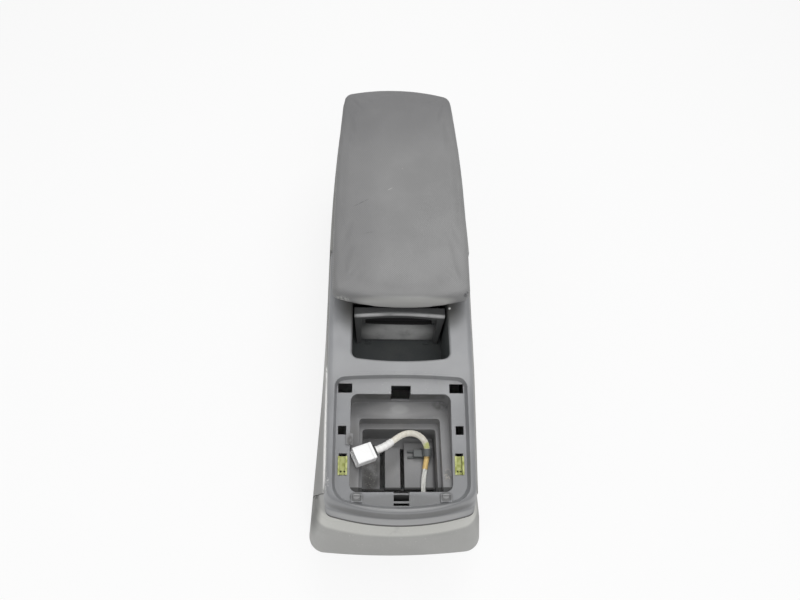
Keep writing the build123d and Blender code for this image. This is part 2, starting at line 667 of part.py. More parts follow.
def inner_tray():
    """Stepped tray hung below the recess ledge, with ribs on its floor."""
    far_y = KNEE_Y - APERTURE_FAR * SLOPE_COS
    margin = TRAY_TOP_MARGIN
    wall = TRAY_WALL
    half = APERTURE_HALF + margin
    top = LEDGE_PLANE.offset(-LEDGE_THICKNESS)
    under_ledge = extrude(top * Rectangle(2 * FAR, 4 * FAR), amount=-FAR)

    def level(half_width, front_y, rear_y, floor_z, corner):
        plane = Plane((0, (front_y + rear_y) / 2, floor_z))
        return extrude(plane * RectangleRounded(2 * half_width, rear_y - front_y, corner), amount=FAR)

    front_y = TRAY_FRONT_Y
    rear_y = far_y + margin + TRAY_FAR_ROOM
    corner = APERTURE_CORNER + margin
    step_rear = rear_y - TRAY_STEP_FAR
    well_rear = rear_y - TRAY_WELL_FAR
    shell = level(half + wall, front_y - wall, rear_y + wall, TRAY_LEDGE_HEIGHT - wall, corner + wall)
    shell += level(TRAY_STEP_HALF + wall, front_y - wall, step_rear + wall, TRAY_STEP_HEIGHT - wall, TRAY_CORNER)
    shell += level(TRAY_WELL_HALF + wall, front_y - wall, well_rear + wall, TRAY_FLOOR_HEIGHT - wall, TRAY_CORNER)
    shell = shell & under_ledge
    shell -= level(half, front_y, rear_y, TRAY_LEDGE_HEIGHT, corner)
    shell -= level(TRAY_STEP_HALF, front_y, step_rear, TRAY_STEP_HEIGHT, TRAY_CORNER)
    shell -= level(TRAY_WELL_HALF, front_y, well_rear, TRAY_FLOOR_HEIGHT, TRAY_CORNER)
    slot_rear = front_y + TRAY_FRONT_SLOT
    rib_top = TRAY_FLOOR_HEIGHT + TRAY_RIB_HEIGHT
    ribs = ((TRAY_RIB_LEFT, TRAY_RIB_LEFT_SETBACK), (TRAY_RIB_RIGHT, TRAY_RIB_RIGHT_SETBACK))
    for (left, right), setback in ribs:
        shell += block(left, right, slot_rear, well_rear - setback, TRAY_FLOOR_HEIGHT - wall / 2, rib_top)
    cut_z = TRAY_FLOOR_HEIGHT - 2 * wall
    slots = ((TRAY_RIB_LEFT[0] - TRAY_SLOT_WIDTH, TRAY_RIB_LEFT[0]), (TRAY_RIB_LEFT[1], TRAY_RIB_RIGHT[0]))
    for left, right in slots:
        shell -= block(left, right, slot_rear + wall, well_rear - TRAY_RIB_LEFT_SETBACK, cut_z, rib_top)
    slot_half = TRAY_WELL_HALF - TRAY_CORNER
    shell -= block(-slot_half, slot_half, front_y + wall, slot_rear, TRAY_FLOOR_HEIGHT - 2 * wall, rib_top)
    notch_half = HOOK_NOTCH_WIDTH / 2
    shell -= block(-notch_half, notch_half, rear_y - wall, rear_y + 2 * wall, TRAY_LEDGE_HEIGHT + 2 * wall, FAR)
    shell += snap_hook()
    grommet_x, _, grommet_z = CORD_ROUTE[0]
    shell -= rod((grommet_x, front_y - 2 * wall, grommet_z), (0, 1, 0), GROMMET_RADIUS + GROMMET_FIT, 4 * wall)
    return shell


def snap_hook():
    """Hook on the tray's left wall that grips the edge of the ledge."""
    edge_x = -APERTURE_HALF
    near = RECESS_RUN - HOOK_FAR - HOOK_LENGTH
    far = near + HOOK_LENGTH
    stem_left = edge_x + HOOK_GAP
    stem_right = stem_left + HOOK_STEM
    head_top = HOOK_GAP + HOOK_HEAD
    below = -LEDGE_THICKNESS - HOOK_GAP
    hook = block(stem_left, stem_right, near, far, below - HOOK_ROOT, head_top)
    hook += block(edge_x - TRAY_WALL / 2, stem_right, near, far, below - HOOK_ROOT, below)
    hook += block(stem_right - HOOK_REACH, stem_right, near, far, HOOK_GAP, head_top)
    return LEDGE_PLANE.location * hook


def harness_grommet():
    """Rubber grommet in the tray's front wall, where the harness comes through."""
    x, end_y, z = CORD_ROUTE[0]
    face_y = TRAY_FRONT_Y
    plug = rod((x, face_y - TRAY_WALL - GROMMET_FLANGE, z), (0, 1, 0), GROMMET_RADIUS, TRAY_WALL + GROMMET_FLANGE)
    plug += rod((x, face_y - TRAY_WALL - GROMMET_FLANGE, z), (0, 1, 0), GROMMET_FLANGE_RADIUS, GROMMET_FLANGE)
    neck = Solid.make_cone(
        GROMMET_RADIUS,
        CORD_DIAMETER / 2 + GROMMET_NECK_WALL,
        end_y - face_y,
        plane=Plane(origin=(x, face_y, z), z_dir=(0, 1, 0)),
    )
    return plug + neck


def cord_path():
    """Straight runs joined by the largest tangent arcs that the runs allow."""
    points = [Vector(*point) for point in CORD_ROUTE]
    radii = []
    for before, here, after in zip(points, points[1:], points[2:]):
        run_in = here - before
        run_out = after - here
        turn = math.radians(run_in.get_angle(run_out))
        radii.append(CORD_BEND_SHARE * min(run_in.length, run_out.length) / math.tan(turn / 2))
    print("cord radii", [round(radius, 1) for radius in radii])
    return FilletPolyline(*points, radius=radii)


CORD_PATH = cord_path()


def cord_tube(radius):
    """Tube of a radius along the whole route."""
    section = Plane(origin=CORD_PATH @ 0, z_dir=CORD_PATH % 0) * Circle(radius)
    return sweep(section, path=CORD_PATH)


def harness_cable():
    """Braided wires, as a plain tube along the route."""
    cable = cord_tube(CORD_DIAMETER / 2)
    ideal = math.pi * CORD_DIAMETER**2 / 4 * CORD_PATH.length
    print("cord length", round(CORD_PATH.length, 1), "volume over ideal", round(cable.volume / ideal, 4))
    return cable


def connector_plane():
    """Connector frame: local Z along the last run of the harness, local X level."""
    last, end = Vector(*CORD_ROUTE[-2]), Vector(*CORD_ROUTE[-1])
    along = (end - last).normalized()
    level = Vector(-along.Y, along.X, 0).normalized()
    return Plane(origin=end, x_dir=level, z_dir=along)


def harness_connector():
    """Plug housing with a mating cavity and a wire neck."""
    plane = connector_plane()
    neck_height = CORD_DIAMETER + 2 * CONNECTOR_NECK_WALL
    neck_shape = RectangleRounded(CONNECTOR_NECK_WIDTH, neck_height, CONNECTOR_NECK_ROUND)
    body_shape = RectangleRounded(CONNECTOR_WIDTH, CONNECTOR_HEIGHT, CONNECTOR_ROUND)
    cavity_width = CONNECTOR_WIDTH - 2 * CONNECTOR_WALL
    cavity_height = CONNECTOR_HEIGHT - 2 * CONNECTOR_WALL
    cavity_shape = RectangleRounded(cavity_width, cavity_height, CONNECTOR_CAVITY_ROUND)
    neck = extrude(plane * neck_shape, amount=CONNECTOR_NECK)
    body = extrude(plane.offset(CONNECTOR_NECK) * body_shape, amount=CONNECTOR_LENGTH)
    mouth = plane.offset(CONNECTOR_NECK + CONNECTOR_LENGTH)
    return neck + body - extrude(mouth * cavity_shape, amount=-CONNECTOR_CAVITY)


def harness_retainer():
    """Moulded clip on the tray's rib: a ring round the harness and a solid arm with two prongs beside it."""
    here = Vector(*CORD_ROUTE[RETAINER_RUN_COUNT])
    along = Vector(*CORD_ROUTE[RETAINER_RUN_COUNT + 1]) - Vector(*CORD_ROUTE[RETAINER_RUN_COUNT - 1])
    spot = CORD_PATH.closest_points(here)[0]
    bore = CORD_DIAMETER / 2 + RETAINER_FIT
    half = RETAINER_LENGTH / 2
    rib_top = TRAY_FLOOR_HEIGHT + TRAY_RIB_HEIGHT
    ring = rod(spot - along.normalized() * half, along, bore + RETAINER_WALL, RETAINER_LENGTH)
    foot = block(spot.X - RETAINER_ARM, spot.X + RETAINER_WALL, spot.Y - half, spot.Y + half, rib_top, spot.Z)
    arm_top = rib_top + RETAINER_ARM_HEIGHT
    arm = block(spot.X - RETAINER_ARM, spot.X, spot.Y - half, spot.Y + half, arm_top, FAR)
    below_rib = block(-FAR, FAR, -FAR, FAR, -FAR, rib_top)
    retainer = ring + (foot - (arm - ring)) - cord_tube(bore) - below_rib
    arm_end = spot.X - RETAINER_ARM
    prong_top = rib_top + RETAINER_PRONG_HEIGHT
    for near in (spot.Y - half, spot.Y + half - RETAINER_PRONG_WIDTH):
        far = near + RETAINER_PRONG_WIDTH
        retainer += block(arm_end - RETAINER_PRONG, arm_end, near, far, rib_top, prong_top)
    return retainer


def panel_clip(side):
    """Folded spring clip that hangs in its ledge slot by two turned-out lips."""
    place = LEDGE_PLANE.location * Pos(side * CLIP_SLOT_X, RECESS_RUN - CLIP_SLOT_FAR - CLIP_SLOT[1] / 2)
    half = CLIP_WIDTH / 2
    start = (CLIP_SLOT[0] - CLIP_WIDTH) / 2
    end = start + CLIP_LENGTH
    clip = block(-half, half, start, end, -CLIP_DEPTH, CLIP_SHEET - CLIP_DEPTH)
    for edge in (-1, 1):
        outer, inner, lip = edge * half, edge * (half - CLIP_SHEET), edge * (half + CLIP_LIP)
        clip += block(min(outer, inner), max(outer, inner), start, end, -CLIP_DEPTH, CLIP_SHEET)
        clip += block(min(inner, lip), max(inner, lip), start, end, 0, CLIP_SHEET)
        clip -= drilled(edge * half / 2, start + CLIP_HOLE_SETBACK, -CLIP_DEPTH, CLIP_HOLE_RADIUS, CLIP_DEPTH / 2)
    return place * clip


def glide_strips():
    """Two low-friction strips that carry the sliding tray."""
    strips = []
    for x in (-GLIDE_HALF_SPACING, GLIDE_HALF_SPACING):
        left, right = x - GLIDE_WIDTH / 2, x + GLIDE_WIDTH / 2
        strips.append(
            block(left, right, DRAWER_FACE_Y, LINER_REAR_Y - LINER_WALL, POCKET_FLOOR, POCKET_FLOOR + GLIDE_THICKNESS)
        )
    return Compound(strips)


def drawer_front():
    """Tapered front with a bowed handle bar and a leaning finger recess."""
    foot = DRAWER_FOOT + DRAWER_FOOT_GAP
    face_y = DRAWER_FACE_Y
    profile = Polyline(
        (-DRAWER_HALF_FOOT, face_y, foot),
        (DRAWER_HALF_FOOT, face_y, foot),
        (DRAWER_HALF_TOP, face_y, DRAWER_TOP),
        (-DRAWER_HALF_TOP, face_y, DRAWER_TOP),
        close=True,
    )
    front = extrude(make_face(profile), amount=DRAWER_FRONT_THICKNESS, dir=(0, 1, 0))
    bow = make_face(
        [
            ThreePointArc(
                (-DRAWER_HALF_TOP, face_y), (0, face_y + DRAWER_HANDLE_BOW), (DRAWER_HALF_TOP, face_y)
            ),
            Line((DRAWER_HALF_TOP, face_y), (-DRAWER_HALF_TOP, face_y)),
        ]
    )
    front -= extrude(bow, amount=FAR)
    front = fillet(front.edges().group_by(Axis.Z)[-1].sort_by(Axis.Y)[0], DRAWER_HANDLE_ROUND)
    bar_z = DRAWER_TOP - DRAWER_HANDLE_HEIGHT
    pull = [
        (POCKET_FRONT_Y, bar_z),
        (face_y + DRAWER_PULL_DEPTH, bar_z),
        (face_y + DRAWER_PULL_DEPTH, bar_z - DRAWER_PULL_SLOT),
        (face_y + DRAWER_PULL_FOOT_DEPTH, DRAWER_FOOT),
        (POCKET_FRONT_Y, DRAWER_FOOT),
    ]
    front -= side_prism(pull, [0] * len(pull), DRAWER_PULL_HALF)
    slot_z = bar_z - DRAWER_PULL_SLOT / 2
    slot = RectangleRounded(2 * DRAWER_SLOT_HALF, DRAWER_PULL_SLOT, DRAWER_SLOT_ROUND)
    return front - extrude(Plane((0, face_y, slot_z), x_dir=(1, 0, 0), z_dir=(0, 1, 0)) * slot, amount=FAR)


def drawer_box():
    """Open box behind the drawer front."""
    rear_y = DRAWER_BOX_Y + DRAWER_BOX_LENGTH
    wall = DRAWER_BOX_WALL
    top = DRAWER_FOOT + DRAWER_BOX_HEIGHT
    box = block(-DRAWER_BOX_HALF, DRAWER_BOX_HALF, DRAWER_BOX_Y, rear_y, DRAWER_FOOT, top)
    half = DRAWER_BOX_HALF - wall
    return box - block(-half, half, DRAWER_BOX_Y + wall, rear_y - wall, DRAWER_FOOT + wall, FAR)


def lid_outline(inset=0.0):
    """Plan outline of the lid, moved inwards by inset."""
    return bowed_outline(
        LID_HALF_FRONT - inset,
        LID_HALF_MIDDLE - inset,
        LID_HALF_REAR - inset,
        LID_FRONT_Y + inset,
        LID_REAR_Y - inset,
        LID_FRONT_BOW,
        LID_REAR_BOW,
        LID_CORNER_FRONT - inset / 2,
        LID_CORNER_REAR - inset / 2,
    )


def lid_crown():
    """Block whose top is the crowned surface of the pad."""
    half = LID_HALF_MIDDLE

    def section(y, top):
        arch = ThreePointArc((half, top - LID_CROWN), (0, top), (-half, top - LID_CROWN))
        frame = Polyline(
            (-half, top - LID_CROWN), (-half, LID_UNDERSIDE), (half, LID_UNDERSIDE), (half, top - LID_CROWN)
        )
        return Plane(origin=(0, y, 0), x_dir=(1, 0, 0), z_dir=(0, -1, 0)) * make_face([arch, frame])

    stations = [
        section(LID_FRONT_Y, LID_TOP_FRONT),
        section((LID_FRONT_Y + LID_REAR_Y) / 2, LID_TOP_MIDDLE),
        section(LID_REAR_Y, LID_TOP_REAR),
    ]
    return loft(stations)


def lid_pad():
    """Padded lid cover, hollowed below for the inner plate and the hinge."""
    pad = extrude(Pos(0, 0, LID_UNDERSIDE) * lid_outline(), amount=FAR) & lid_crown()
    pad = fillet(rim_edges(pad), LID_EDGE)
    pad = fillet(pad.faces().sort_by(Axis.Z)[0].edges(), LID_LOWER_EDGE)
    seat = extrude(Pos(0, 0, -FAR) * lid_outline(LID_BASE_INSET - LID_FIT), amount=FAR + LID_PLATE_TOP)
    pad -= seat & block(-FAR, FAR, -FAR, LID_BASE_REAR_Y + LID_FIT, 0, FAR)
    leaf_half = KNUCKLE_HALF + LID_FIT
    leaf_front = HINGE_Y - LEAF_LENGTH - LID_FIT
    pad -= block(-leaf_half, leaf_half, leaf_front, HINGE_Y, 0, LID_PLATE_TOP + LEAF_SHEET + LEAF_ROOM)
    room_half = BRACKET_HALF + HINGE_ROOM
    room_front = HINGE_Y - 2 * KNUCKLE_RADIUS - HINGE_ROOM
    pad -= block(-room_half, room_half, room_front, FAR, 0, HINGE_HEIGHT + KNUCKLE_RADIUS + HINGE_ROOM)
    return pad


def lid_base():
    """Ribbed inner plate of the lid."""
    base = extrude(Pos(0, 0, LID_UNDERSIDE) * lid_outline(LID_BASE_INSET), amount=LID_BASE_RIM)
    base = base & block(-FAR, FAR, -FAR, LID_BASE_REAR_Y, 0, FAR)
    plate_bottom = LID_PLATE_TOP - LID_BASE_PLATE
    hollow = extrude(lid_outline(LID_BASE_INSET + LID_BASE_RIM_WIDTH), amount=plate_bottom)
    hollow = hollow & block(-FAR, FAR, -FAR, LID_BASE_REAR_Y - LID_BASE_RIM_WIDTH, 0, FAR)
    for index in range(LID_RIB_COUNT):
        rib_y = LID_FRONT_Y + LID_RIB_START + index * LID_RIB_PITCH
        hollow -= block(-FAR, FAR, rib_y - LID_RIB_WIDTH / 2, rib_y + LID_RIB_WIDTH / 2, 0, FAR)
    base -= hollow
    for x, y in leaf_screw_places():
        base -= drilled(x, y, LID_PLATE_TOP, SCREW_RADIUS + SCREW_FIT, 2 * LID_BASE_RIM)
    return base


def lid_bumpers():
    """Rubber buttons below the lid that meet the bin's flange."""
    low = RIM_HEIGHT + BIN_FLANGE + BUMPER_CLEARANCE
    high = LID_PLATE_TOP - LID_BASE_PLATE
    y = PANEL_REAR_Y + BUMPER_SETBACK
    return Compound([rod((x, y, low), (0, 0, 1), BUMPER_RADIUS, high - low) for x in (-BUMPER_X, BUMPER_X)])


def leaf_screw_places():
    """Where the screws join the hinge leaf to the lid's inner plate."""
    return [(x, HINGE_Y - row) for x in (-LEAF_SCREW_X, LEAF_SCREW_X) for row in LEAF_SCREW_ROWS]


def bracket_screw_places():
    """Where the screws hold the hinge bracket on the housing's shelf."""
    return [(x, HINGE_Y + row) for x in (-BRACKET_SCREW_X, BRACKET_SCREW_X) for row in BRACKET_SCREW_ROWS]


def hinge_bracket():
    """Pressed bracket on the housing's shelf, with two ears for the pin."""
    top = RIM_HEIGHT + BRACKET_PLATE
    bracket = block(
        -BRACKET_HALF, BRACKET_HALF, HINGE_Y - BRACKET_FRONT, HINGE_Y + BRACKET_REAR, RIM_HEIGHT, top
    )
    for side in (-1, 1):
        inner = side * (KNUCKLE_HALF + EAR_GAP)
        outer = inner + side * EAR_THICKNESS
        low, high = sorted((inner, outer))
        ear = block(low, high, HINGE_Y - KNUCKLE_RADIUS, HINGE_Y + KNUCKLE_RADIUS, RIM_HEIGHT, HINGE_HEIGHT)
        ear += rod((low, HINGE_Y, HINGE_HEIGHT), (1, 0, 0), KNUCKLE_RADIUS, EAR_THICKNESS)
        bracket += ear
    bracket -= rod((-FAR, HINGE_Y, HINGE_HEIGHT), (1, 0, 0), PIN_RADIUS, 2 * FAR)
    for x, y in bracket_screw_places():
        bracket -= drilled(x, y, top, SCREW_RADIUS + SCREW_FIT, 2 * BRACKET_PLATE)
    return bracket


def hinge_leaf():
    """Rolled leaf on the lid that turns on the pin."""
    knuckle = rod((-KNUCKLE_HALF, HINGE_Y, HINGE_HEIGHT), (1, 0, 0), KNUCKLE_RADIUS, 2 * KNUCKLE_HALF)
    leaf = knuckle + block(
        -KNUCKLE_HALF, KNUCKLE_HALF, HINGE_Y - LEAF_LENGTH, HINGE_Y, LID_PLATE_TOP, LID_PLATE_TOP + LEAF_SHEET
    )
    leaf -= rod((-FAR, HINGE_Y, HINGE_HEIGHT), (1, 0, 0), PIN_RADIUS + PIN_CLEARANCE, 2 * FAR)
    for x, y in leaf_screw_places():
        leaf -= drilled(x, y, LID_PLATE_TOP, SCREW_RADIUS + SCREW_FIT, 2 * LEAF_SHEET)
    return leaf


def hinge_pin():
    """Headed pin through the bracket's ears."""
    end = KNUCKLE_HALF + EAR_GAP + EAR_THICKNESS
    pin = rod((-end, HINGE_Y, HINGE_HEIGHT), (1, 0, 0), PIN_RADIUS, 2 * end)
    for x in (-end - PIN_HEAD, end):
        pin += rod((x, HINGE_Y, HINGE_HEIGHT), (1, 0, 0), PIN_HEAD_RADIUS, PIN_HEAD)
    return pin


def screw(head_top, direction, grip):
    """Pan-head screw from the top of its head along a direction."""
    axis = Vector(*direction)
    under_head = Vector(*head_top) + axis * SCREW_HEAD
    return rod(head_top, direction, SCREW_HEAD_RADIUS, SCREW_HEAD) + rod(under_head, direction, SCREW_RADIUS, grip)


def leaf_screws():
    """Screws from below through the inner plate into the leaf."""
    head_z = LID_PLATE_TOP - LID_BASE_PLATE - SCREW_HEAD
    grip = LID_BASE_PLATE + LEAF_SHEET
    return Compound([screw((x, y, head_z), (0, 0, 1), grip) for x, y in leaf_screw_places()])


def bracket_screws():
    """Screws from above through the bracket into the shelf."""
    head_z = RIM_HEIGHT + BRACKET_PLATE + SCREW_HEAD
    return Compound([screw((x, y, head_z), (0, 0, -1), BRACKET_SCREW_LENGTH) for x, y in bracket_screw_places()])


PARTS = {
    "side_housing": side_housing(),
    "front_skirt": front_skirt(),
    "upper_panel": upper_panel(),
    "panel_clip_left": panel_clip(-1),
    "panel_clip_right": panel_clip(1),
    "inner_tray": inner_tray(),
    "harness_grommet": harness_grommet(),
    "harness_cable": harness_cable(),
    "harness_retainer": harness_retainer(),
    "harness_connector": harness_connector(),
    "pocket_liner": pocket_liner(),
    "glide_strips": glide_strips(),
    "drawer_front": drawer_front(),
    "drawer_box": drawer_box(),
    "storage_bin": storage_bin(),
    "hinge_bracket": hinge_bracket(),
    "bracket_screws": bracket_screws(),
    "hinge_pin": hinge_pin(),
    "hinge_leaf": hinge_leaf(),
    "leaf_screws": leaf_screws(),
    "lid_base": lid_base(),
    "lid_bumpers": lid_bumpers(),
    "lid_pad": lid_pad(),
}

os.makedirs("parts", exist_ok=True)
for node, solid in PARTS.items():
    export_step(solid, os.path.join("parts", node + ".step"))
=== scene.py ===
"""Dress the solids of a car centre armrest console: finishes, padded lid, wiring, light and camera."""

import logging
import math
from dataclasses import dataclass
from enum import Enum
from typing import Any, Iterable, Mapping, Sequence, Union

import bmesh
import bpy
from mathutils import Matrix, Vector


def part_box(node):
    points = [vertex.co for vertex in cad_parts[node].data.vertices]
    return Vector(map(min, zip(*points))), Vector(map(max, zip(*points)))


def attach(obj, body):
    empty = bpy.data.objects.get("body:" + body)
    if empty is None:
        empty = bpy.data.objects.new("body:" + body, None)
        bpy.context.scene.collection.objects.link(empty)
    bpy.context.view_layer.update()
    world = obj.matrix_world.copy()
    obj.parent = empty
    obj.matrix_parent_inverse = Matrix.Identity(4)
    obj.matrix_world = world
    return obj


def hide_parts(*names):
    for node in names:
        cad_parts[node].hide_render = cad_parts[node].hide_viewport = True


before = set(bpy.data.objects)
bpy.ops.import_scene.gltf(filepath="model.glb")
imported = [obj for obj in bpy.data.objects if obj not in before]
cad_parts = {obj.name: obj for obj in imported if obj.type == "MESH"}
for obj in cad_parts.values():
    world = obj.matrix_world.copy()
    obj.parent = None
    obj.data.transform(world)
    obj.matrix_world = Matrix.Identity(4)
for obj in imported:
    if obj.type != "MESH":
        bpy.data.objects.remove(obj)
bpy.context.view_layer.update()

LOG = logging.getLogger("armrest_console")
MM = 0.001

Colour = tuple[float, float, float]
Triple = tuple[float, float, float]
Number = Union["Value", float]


# Shader expressions


class Value:
    """A number that varies over a surface, written in Python expressions."""

    def __init__(self, graph: "Graph", socket: bpy.types.NodeSocket) -> None:
        """Wrap an output socket of a graph."""
        self.graph = graph
        self.socket = socket

    def _math(self, operation: str, first: Number, second: Number) -> "Value":
        """Add a Math node.

        Args:
            operation: The node's operation.
            first: First term.
            second: Second term.

        Returns:
            The result.
        """
        made = self.graph.node("ShaderNodeMath", {"operation": operation}, {0: first, 1: second})
        return Value(self.graph, made.outputs[0])

    def __add__(self, other: Number) -> "Value":
        """Sum."""
        return self._math("ADD", self, other)

    def __radd__(self, other: Number) -> "Value":
        """Sum, the other way round."""
        return self._math("ADD", other, self)

    def __sub__(self, other: Number) -> "Value":
        """Difference."""
        return self._math("SUBTRACT", self, other)

    def __rsub__(self, other: Number) -> "Value":
        """Difference, the other way round."""
        return self._math("SUBTRACT", other, self)

    def __mul__(self, other: Number) -> "Value":
        """Product."""
        return self._math("MULTIPLY", self, other)

    def __rmul__(self, other: Number) -> "Value":
        """Product, the other way round."""
        return self._math("MULTIPLY", other, self)

    def most(self, other: Number) -> "Value":
        """The larger of two numbers."""
        return self._math("MAXIMUM", self, other)

    def wave(self) -> "Value":
        """Sine of the number."""
        return self._math("SINE", self, 0.0)

    def size(self) -> "Value":
        """The number without its sign."""
        return self._math("ABSOLUTE", self, 0.0)

    def ease(self, low: float, high: float) -> "Value":
        """Smooth step from 0 at low to 1 at high, or down from 1 where low is the larger.

        Args:
            low: Where the step starts.
            high: Where it ends.

        Returns:
            A number from 0 to 1.
        """
        made = self.graph.node(
            "ShaderNodeMapRange",
            {"interpolation_type": "SMOOTHSTEP"},
            {"Value": self, "From Min": low, "From Max": high},
        )
        return Value(self.graph, made.outputs["Result"])


class Graph:
    """The node tree of one material or world."""

    def __init__(self, owner: bpy.types.Material | bpy.types.World) -> None:
        """Start an empty tree in its owner."""
        self.owner = owner
        owner.use_nodes = True
        self.tree = owner.node_tree
        self.tree.nodes.clear()
        self.place = self.node("ShaderNodeTexCoord").outputs["Object"]

    def node(
        self, kind: str, settings: Mapping[str, Any] | None = None, sockets: Mapping[Any, Any] | None = None
    ) -> bpy.types.Node:
        """Add a node.

        Args:
            kind: The node's type.
            settings: Its own settings, set before its sockets.
            sockets: Values or links of its input sockets, by name or number.

        Returns:
            The node.
        """
        made = self.tree.nodes.new(kind)
        for name, value in (settings or {}).items():
            setattr(made, name, value)
        for key, value in (sockets or {}).items():
            self.feed(made.inputs[key], value)
        return made

    def feed(self, socket: bpy.types.NodeSocket, value: Any) -> None:
        """Link a socket, or set its number, vector or colour."""
        if isinstance(value, Value):
            value = value.socket
        if isinstance(value, bpy.types.NodeSocket):
            self.tree.links.new(value, socket)
        elif socket.type == "RGBA" and len(value) == 3:
            socket.default_value = (*value, 1.0)
        else:
            socket.default_value = value

    def noise(self, pitch: float, detail: float = 2.0, stretch: Triple = (1.0, 1.0, 1.0)) -> Value:
        """Smooth noise.

        Args:
            pitch: Size of its features, in metres.
            detail: Octaves added to it.
            stretch: How many times longer its features are along each axis.

        Returns:
            A number from 0 to 1, about 0.5 on the whole.
        """
        place = self.place
        if stretch != (1.0, 1.0, 1.0):
            scale = tuple(1.0 / share for share in stretch)
            place = self.node("ShaderNodeMapping", {}, {"Vector": place, "Scale": scale}).outputs[0]
        made = self.node("ShaderNodeTexNoise", {}, {"Vector": place, "Scale": 1.0 / pitch, "Detail": detail})
        return Value(self, made.outputs[0])

    def cells(self, pitch: float) -> Value:
        """Distance within rounded cells.

        Args:
            pitch: Size of a cell, in metres.

        Returns:
            A number that is 0 at the cells' centres.
        """
        sockets = {"Vector": self.place, "Scale": 1.0 / pitch}
        made = self.node("ShaderNodeTexVoronoi", {"feature": "F1"}, sockets)
        return Value(self, made.outputs["Distance"])

    def axis(self, name: str) -> Value:
        """One of the object coordinates: X, Y or Z."""
        return Value(self, self.node("ShaderNodeSeparateXYZ", {}, {0: self.place}).outputs[name])

    def vector(self, operation: str, first: Any, second: Any = (0.0, 0.0, 0.0)) -> bpy.types.Node:
        """Add a Vector Math node with two terms."""
        return self.node("ShaderNodeVectorMath", {"operation": operation}, {0: first, 1: second})

    def within(self, centre: Triple, reach: Triple, turn_deg: float = 0.0) -> Value:
        """Distance from a point, measured in the reach along each axis.

        Args:
            centre: The point.
            reach: The distance that counts as 1 along each axis.
            turn_deg: How far those axes are turned about Z.

        Returns:
            0 at the point and 1 on an ellipsoid round it.
        """
        away = self.vector("SUBTRACT", self.place, centre).outputs[0]
        if turn_deg:
            angle = -math.radians(turn_deg)
            sockets = {"Vector": away, "Angle": angle}
            away = self.node("ShaderNodeVectorRotate", {"rotation_type": "Z_AXIS"}, sockets).outputs[0]
        share = self.vector("DIVIDE", away, reach).outputs[0]
        return Value(self, self.vector("LENGTH", share).outputs["Value"])

    def along(self, origin: Triple, direction: Triple) -> Value:
        """Distance from a point along a direction."""
        away = self.vector("SUBTRACT", self.place, origin).outputs[0]
        return Value(self, self.vector("DOT_PRODUCT", away, direction).outputs["Value"])

    def blend(self, share: Number, first: Any, second: Any) -> bpy.types.NodeSocket:
        """Mix two colours.

        Args:
            share: How much of the second shows.
            first: A colour or a colour socket.
            second: A colour or a colour socket.

        Returns:
            The mixed colour.
        """
        made = self.node("ShaderNodeMix", {"data_type": "RGBA"}, {0: share, 6: first, 7: second})
        return made.outputs[2]

    def relief(
        self, height: Number, depth: float, normal: bpy.types.NodeSocket | None = None
    ) -> bpy.types.NodeSocket:
        """Bump a surface.

        Args:
            height: Height from 0 to 1.
            depth: The relief's depth, in metres.
            normal: The normal that it starts from.

        Returns:
            The bumped normal.
        """
        sockets = {"Height": height, "Distance": depth, "Strength": 1.0}
        if normal is not None:
            sockets["Normal"] = normal
        return self.node("ShaderNodeBump", {}, sockets).outputs[0]

    def rounded(self, radius: float) -> bpy.types.NodeSocket:
        """Normal of the surface with its edges rounded."""
        return self.node("ShaderNodeBevel", {"samples": 4}, {"Radius": radius}).outputs[0]

    def edge(self, rounded: bpy.types.NodeSocket) -> Value:
        """How much a rounded normal turns from the plain one: above 0 only beside edges."""
        plain = self.node("ShaderNodeNewGeometry").outputs["Normal"]
        return 1.0 - Value(self, self.vector("DOT_PRODUCT", rounded, plain).outputs["Value"])

    def finish(self, sockets: Mapping[str, Any]) -> bpy.types.Material:
        """Close the tree with a Principled shader.

        Args:
            sockets: Values or links of the shader's sockets.

        Returns:
            The material.
        """
        shader = self.node("ShaderNodeBsdfPrincipled", {}, sockets)
        self.node("ShaderNodeOutputMaterial", {}, {"Surface": shader.outputs[0]})
        return self.owner


# Marks of use, and painted light and shade


class MarkKind(Enum):
    """What has marked a surface; marks of painted light and shade take a kind only for how sharp their
    patches are.
    """

    RUB = "rub"
    SMEAR = "smear"
    GRIT = "grit"


@dataclass(frozen=True)
class Mark:
    """One worn, smeared or dirty place on a surface, or a place where light or shade is painted.

    Attributes:
        kind: What it is.
        centre: Its middle.
        reach: Half its size along each axis.
        colour: What shows there.
        strength: How much of it shows, from 0 to 1.
        pitch: Size of the patches that it is broken into.
        cover: Share of its area that the patches cover.
        turn_deg: How far it is turned about the upright axis.
        rim: Share of its size within which it doesn't fade.
    """

    kind: MarkKind
    centre: Triple
    reach: Triple
    colour: Colour
    strength: float = 0.8
    pitch: float = 4 * MM
    cover: float = 0.5
    turn_deg: float = 0.0
    rim: float = 0.5

    SOFTNESS = {MarkKind.RUB: 0.08, MarkKind.SMEAR: 0.25, MarkKind.GRIT: 0.03}
    ROUGHER = 0.15

    @classmethod
    def even(
        cls, centre: Triple, reach: Triple, colour: Colour, strength: float, rim: float = 0.5
    ) -> "Mark":
        """A mark that isn't broken into patches.

        Args:
            centre: Its middle.
            reach: Half its size along each axis.
            colour: What shows there.
            strength: How much of it shows, from 0 to 1.
            rim: Share of its size within which it doesn't fade.

        Returns:
            The mark.
        """
        return cls(MarkKind.RUB, centre, reach, colour, strength, pitch=20 * MM, cover=1.0, rim=rim)

    def mask(self, graph: Graph) -> Value:
        """Where the mark shows.

        Args:
            graph: The material's tree.

        Returns:
            A number from 0 to 1.
        """
        body = graph.within(self.centre, self.reach, self.turn_deg).ease(1.0, self.rim)
        # Noise lies mostly from 0.25 to 0.75
        level = 0.25 + 0.5 * (1.0 - self.cover)
        soft = self.SOFTNESS[self.kind]
        patches = graph.noise(self.pitch, 3.0).ease(level - soft, level + soft)
        return body * patches * self.strength


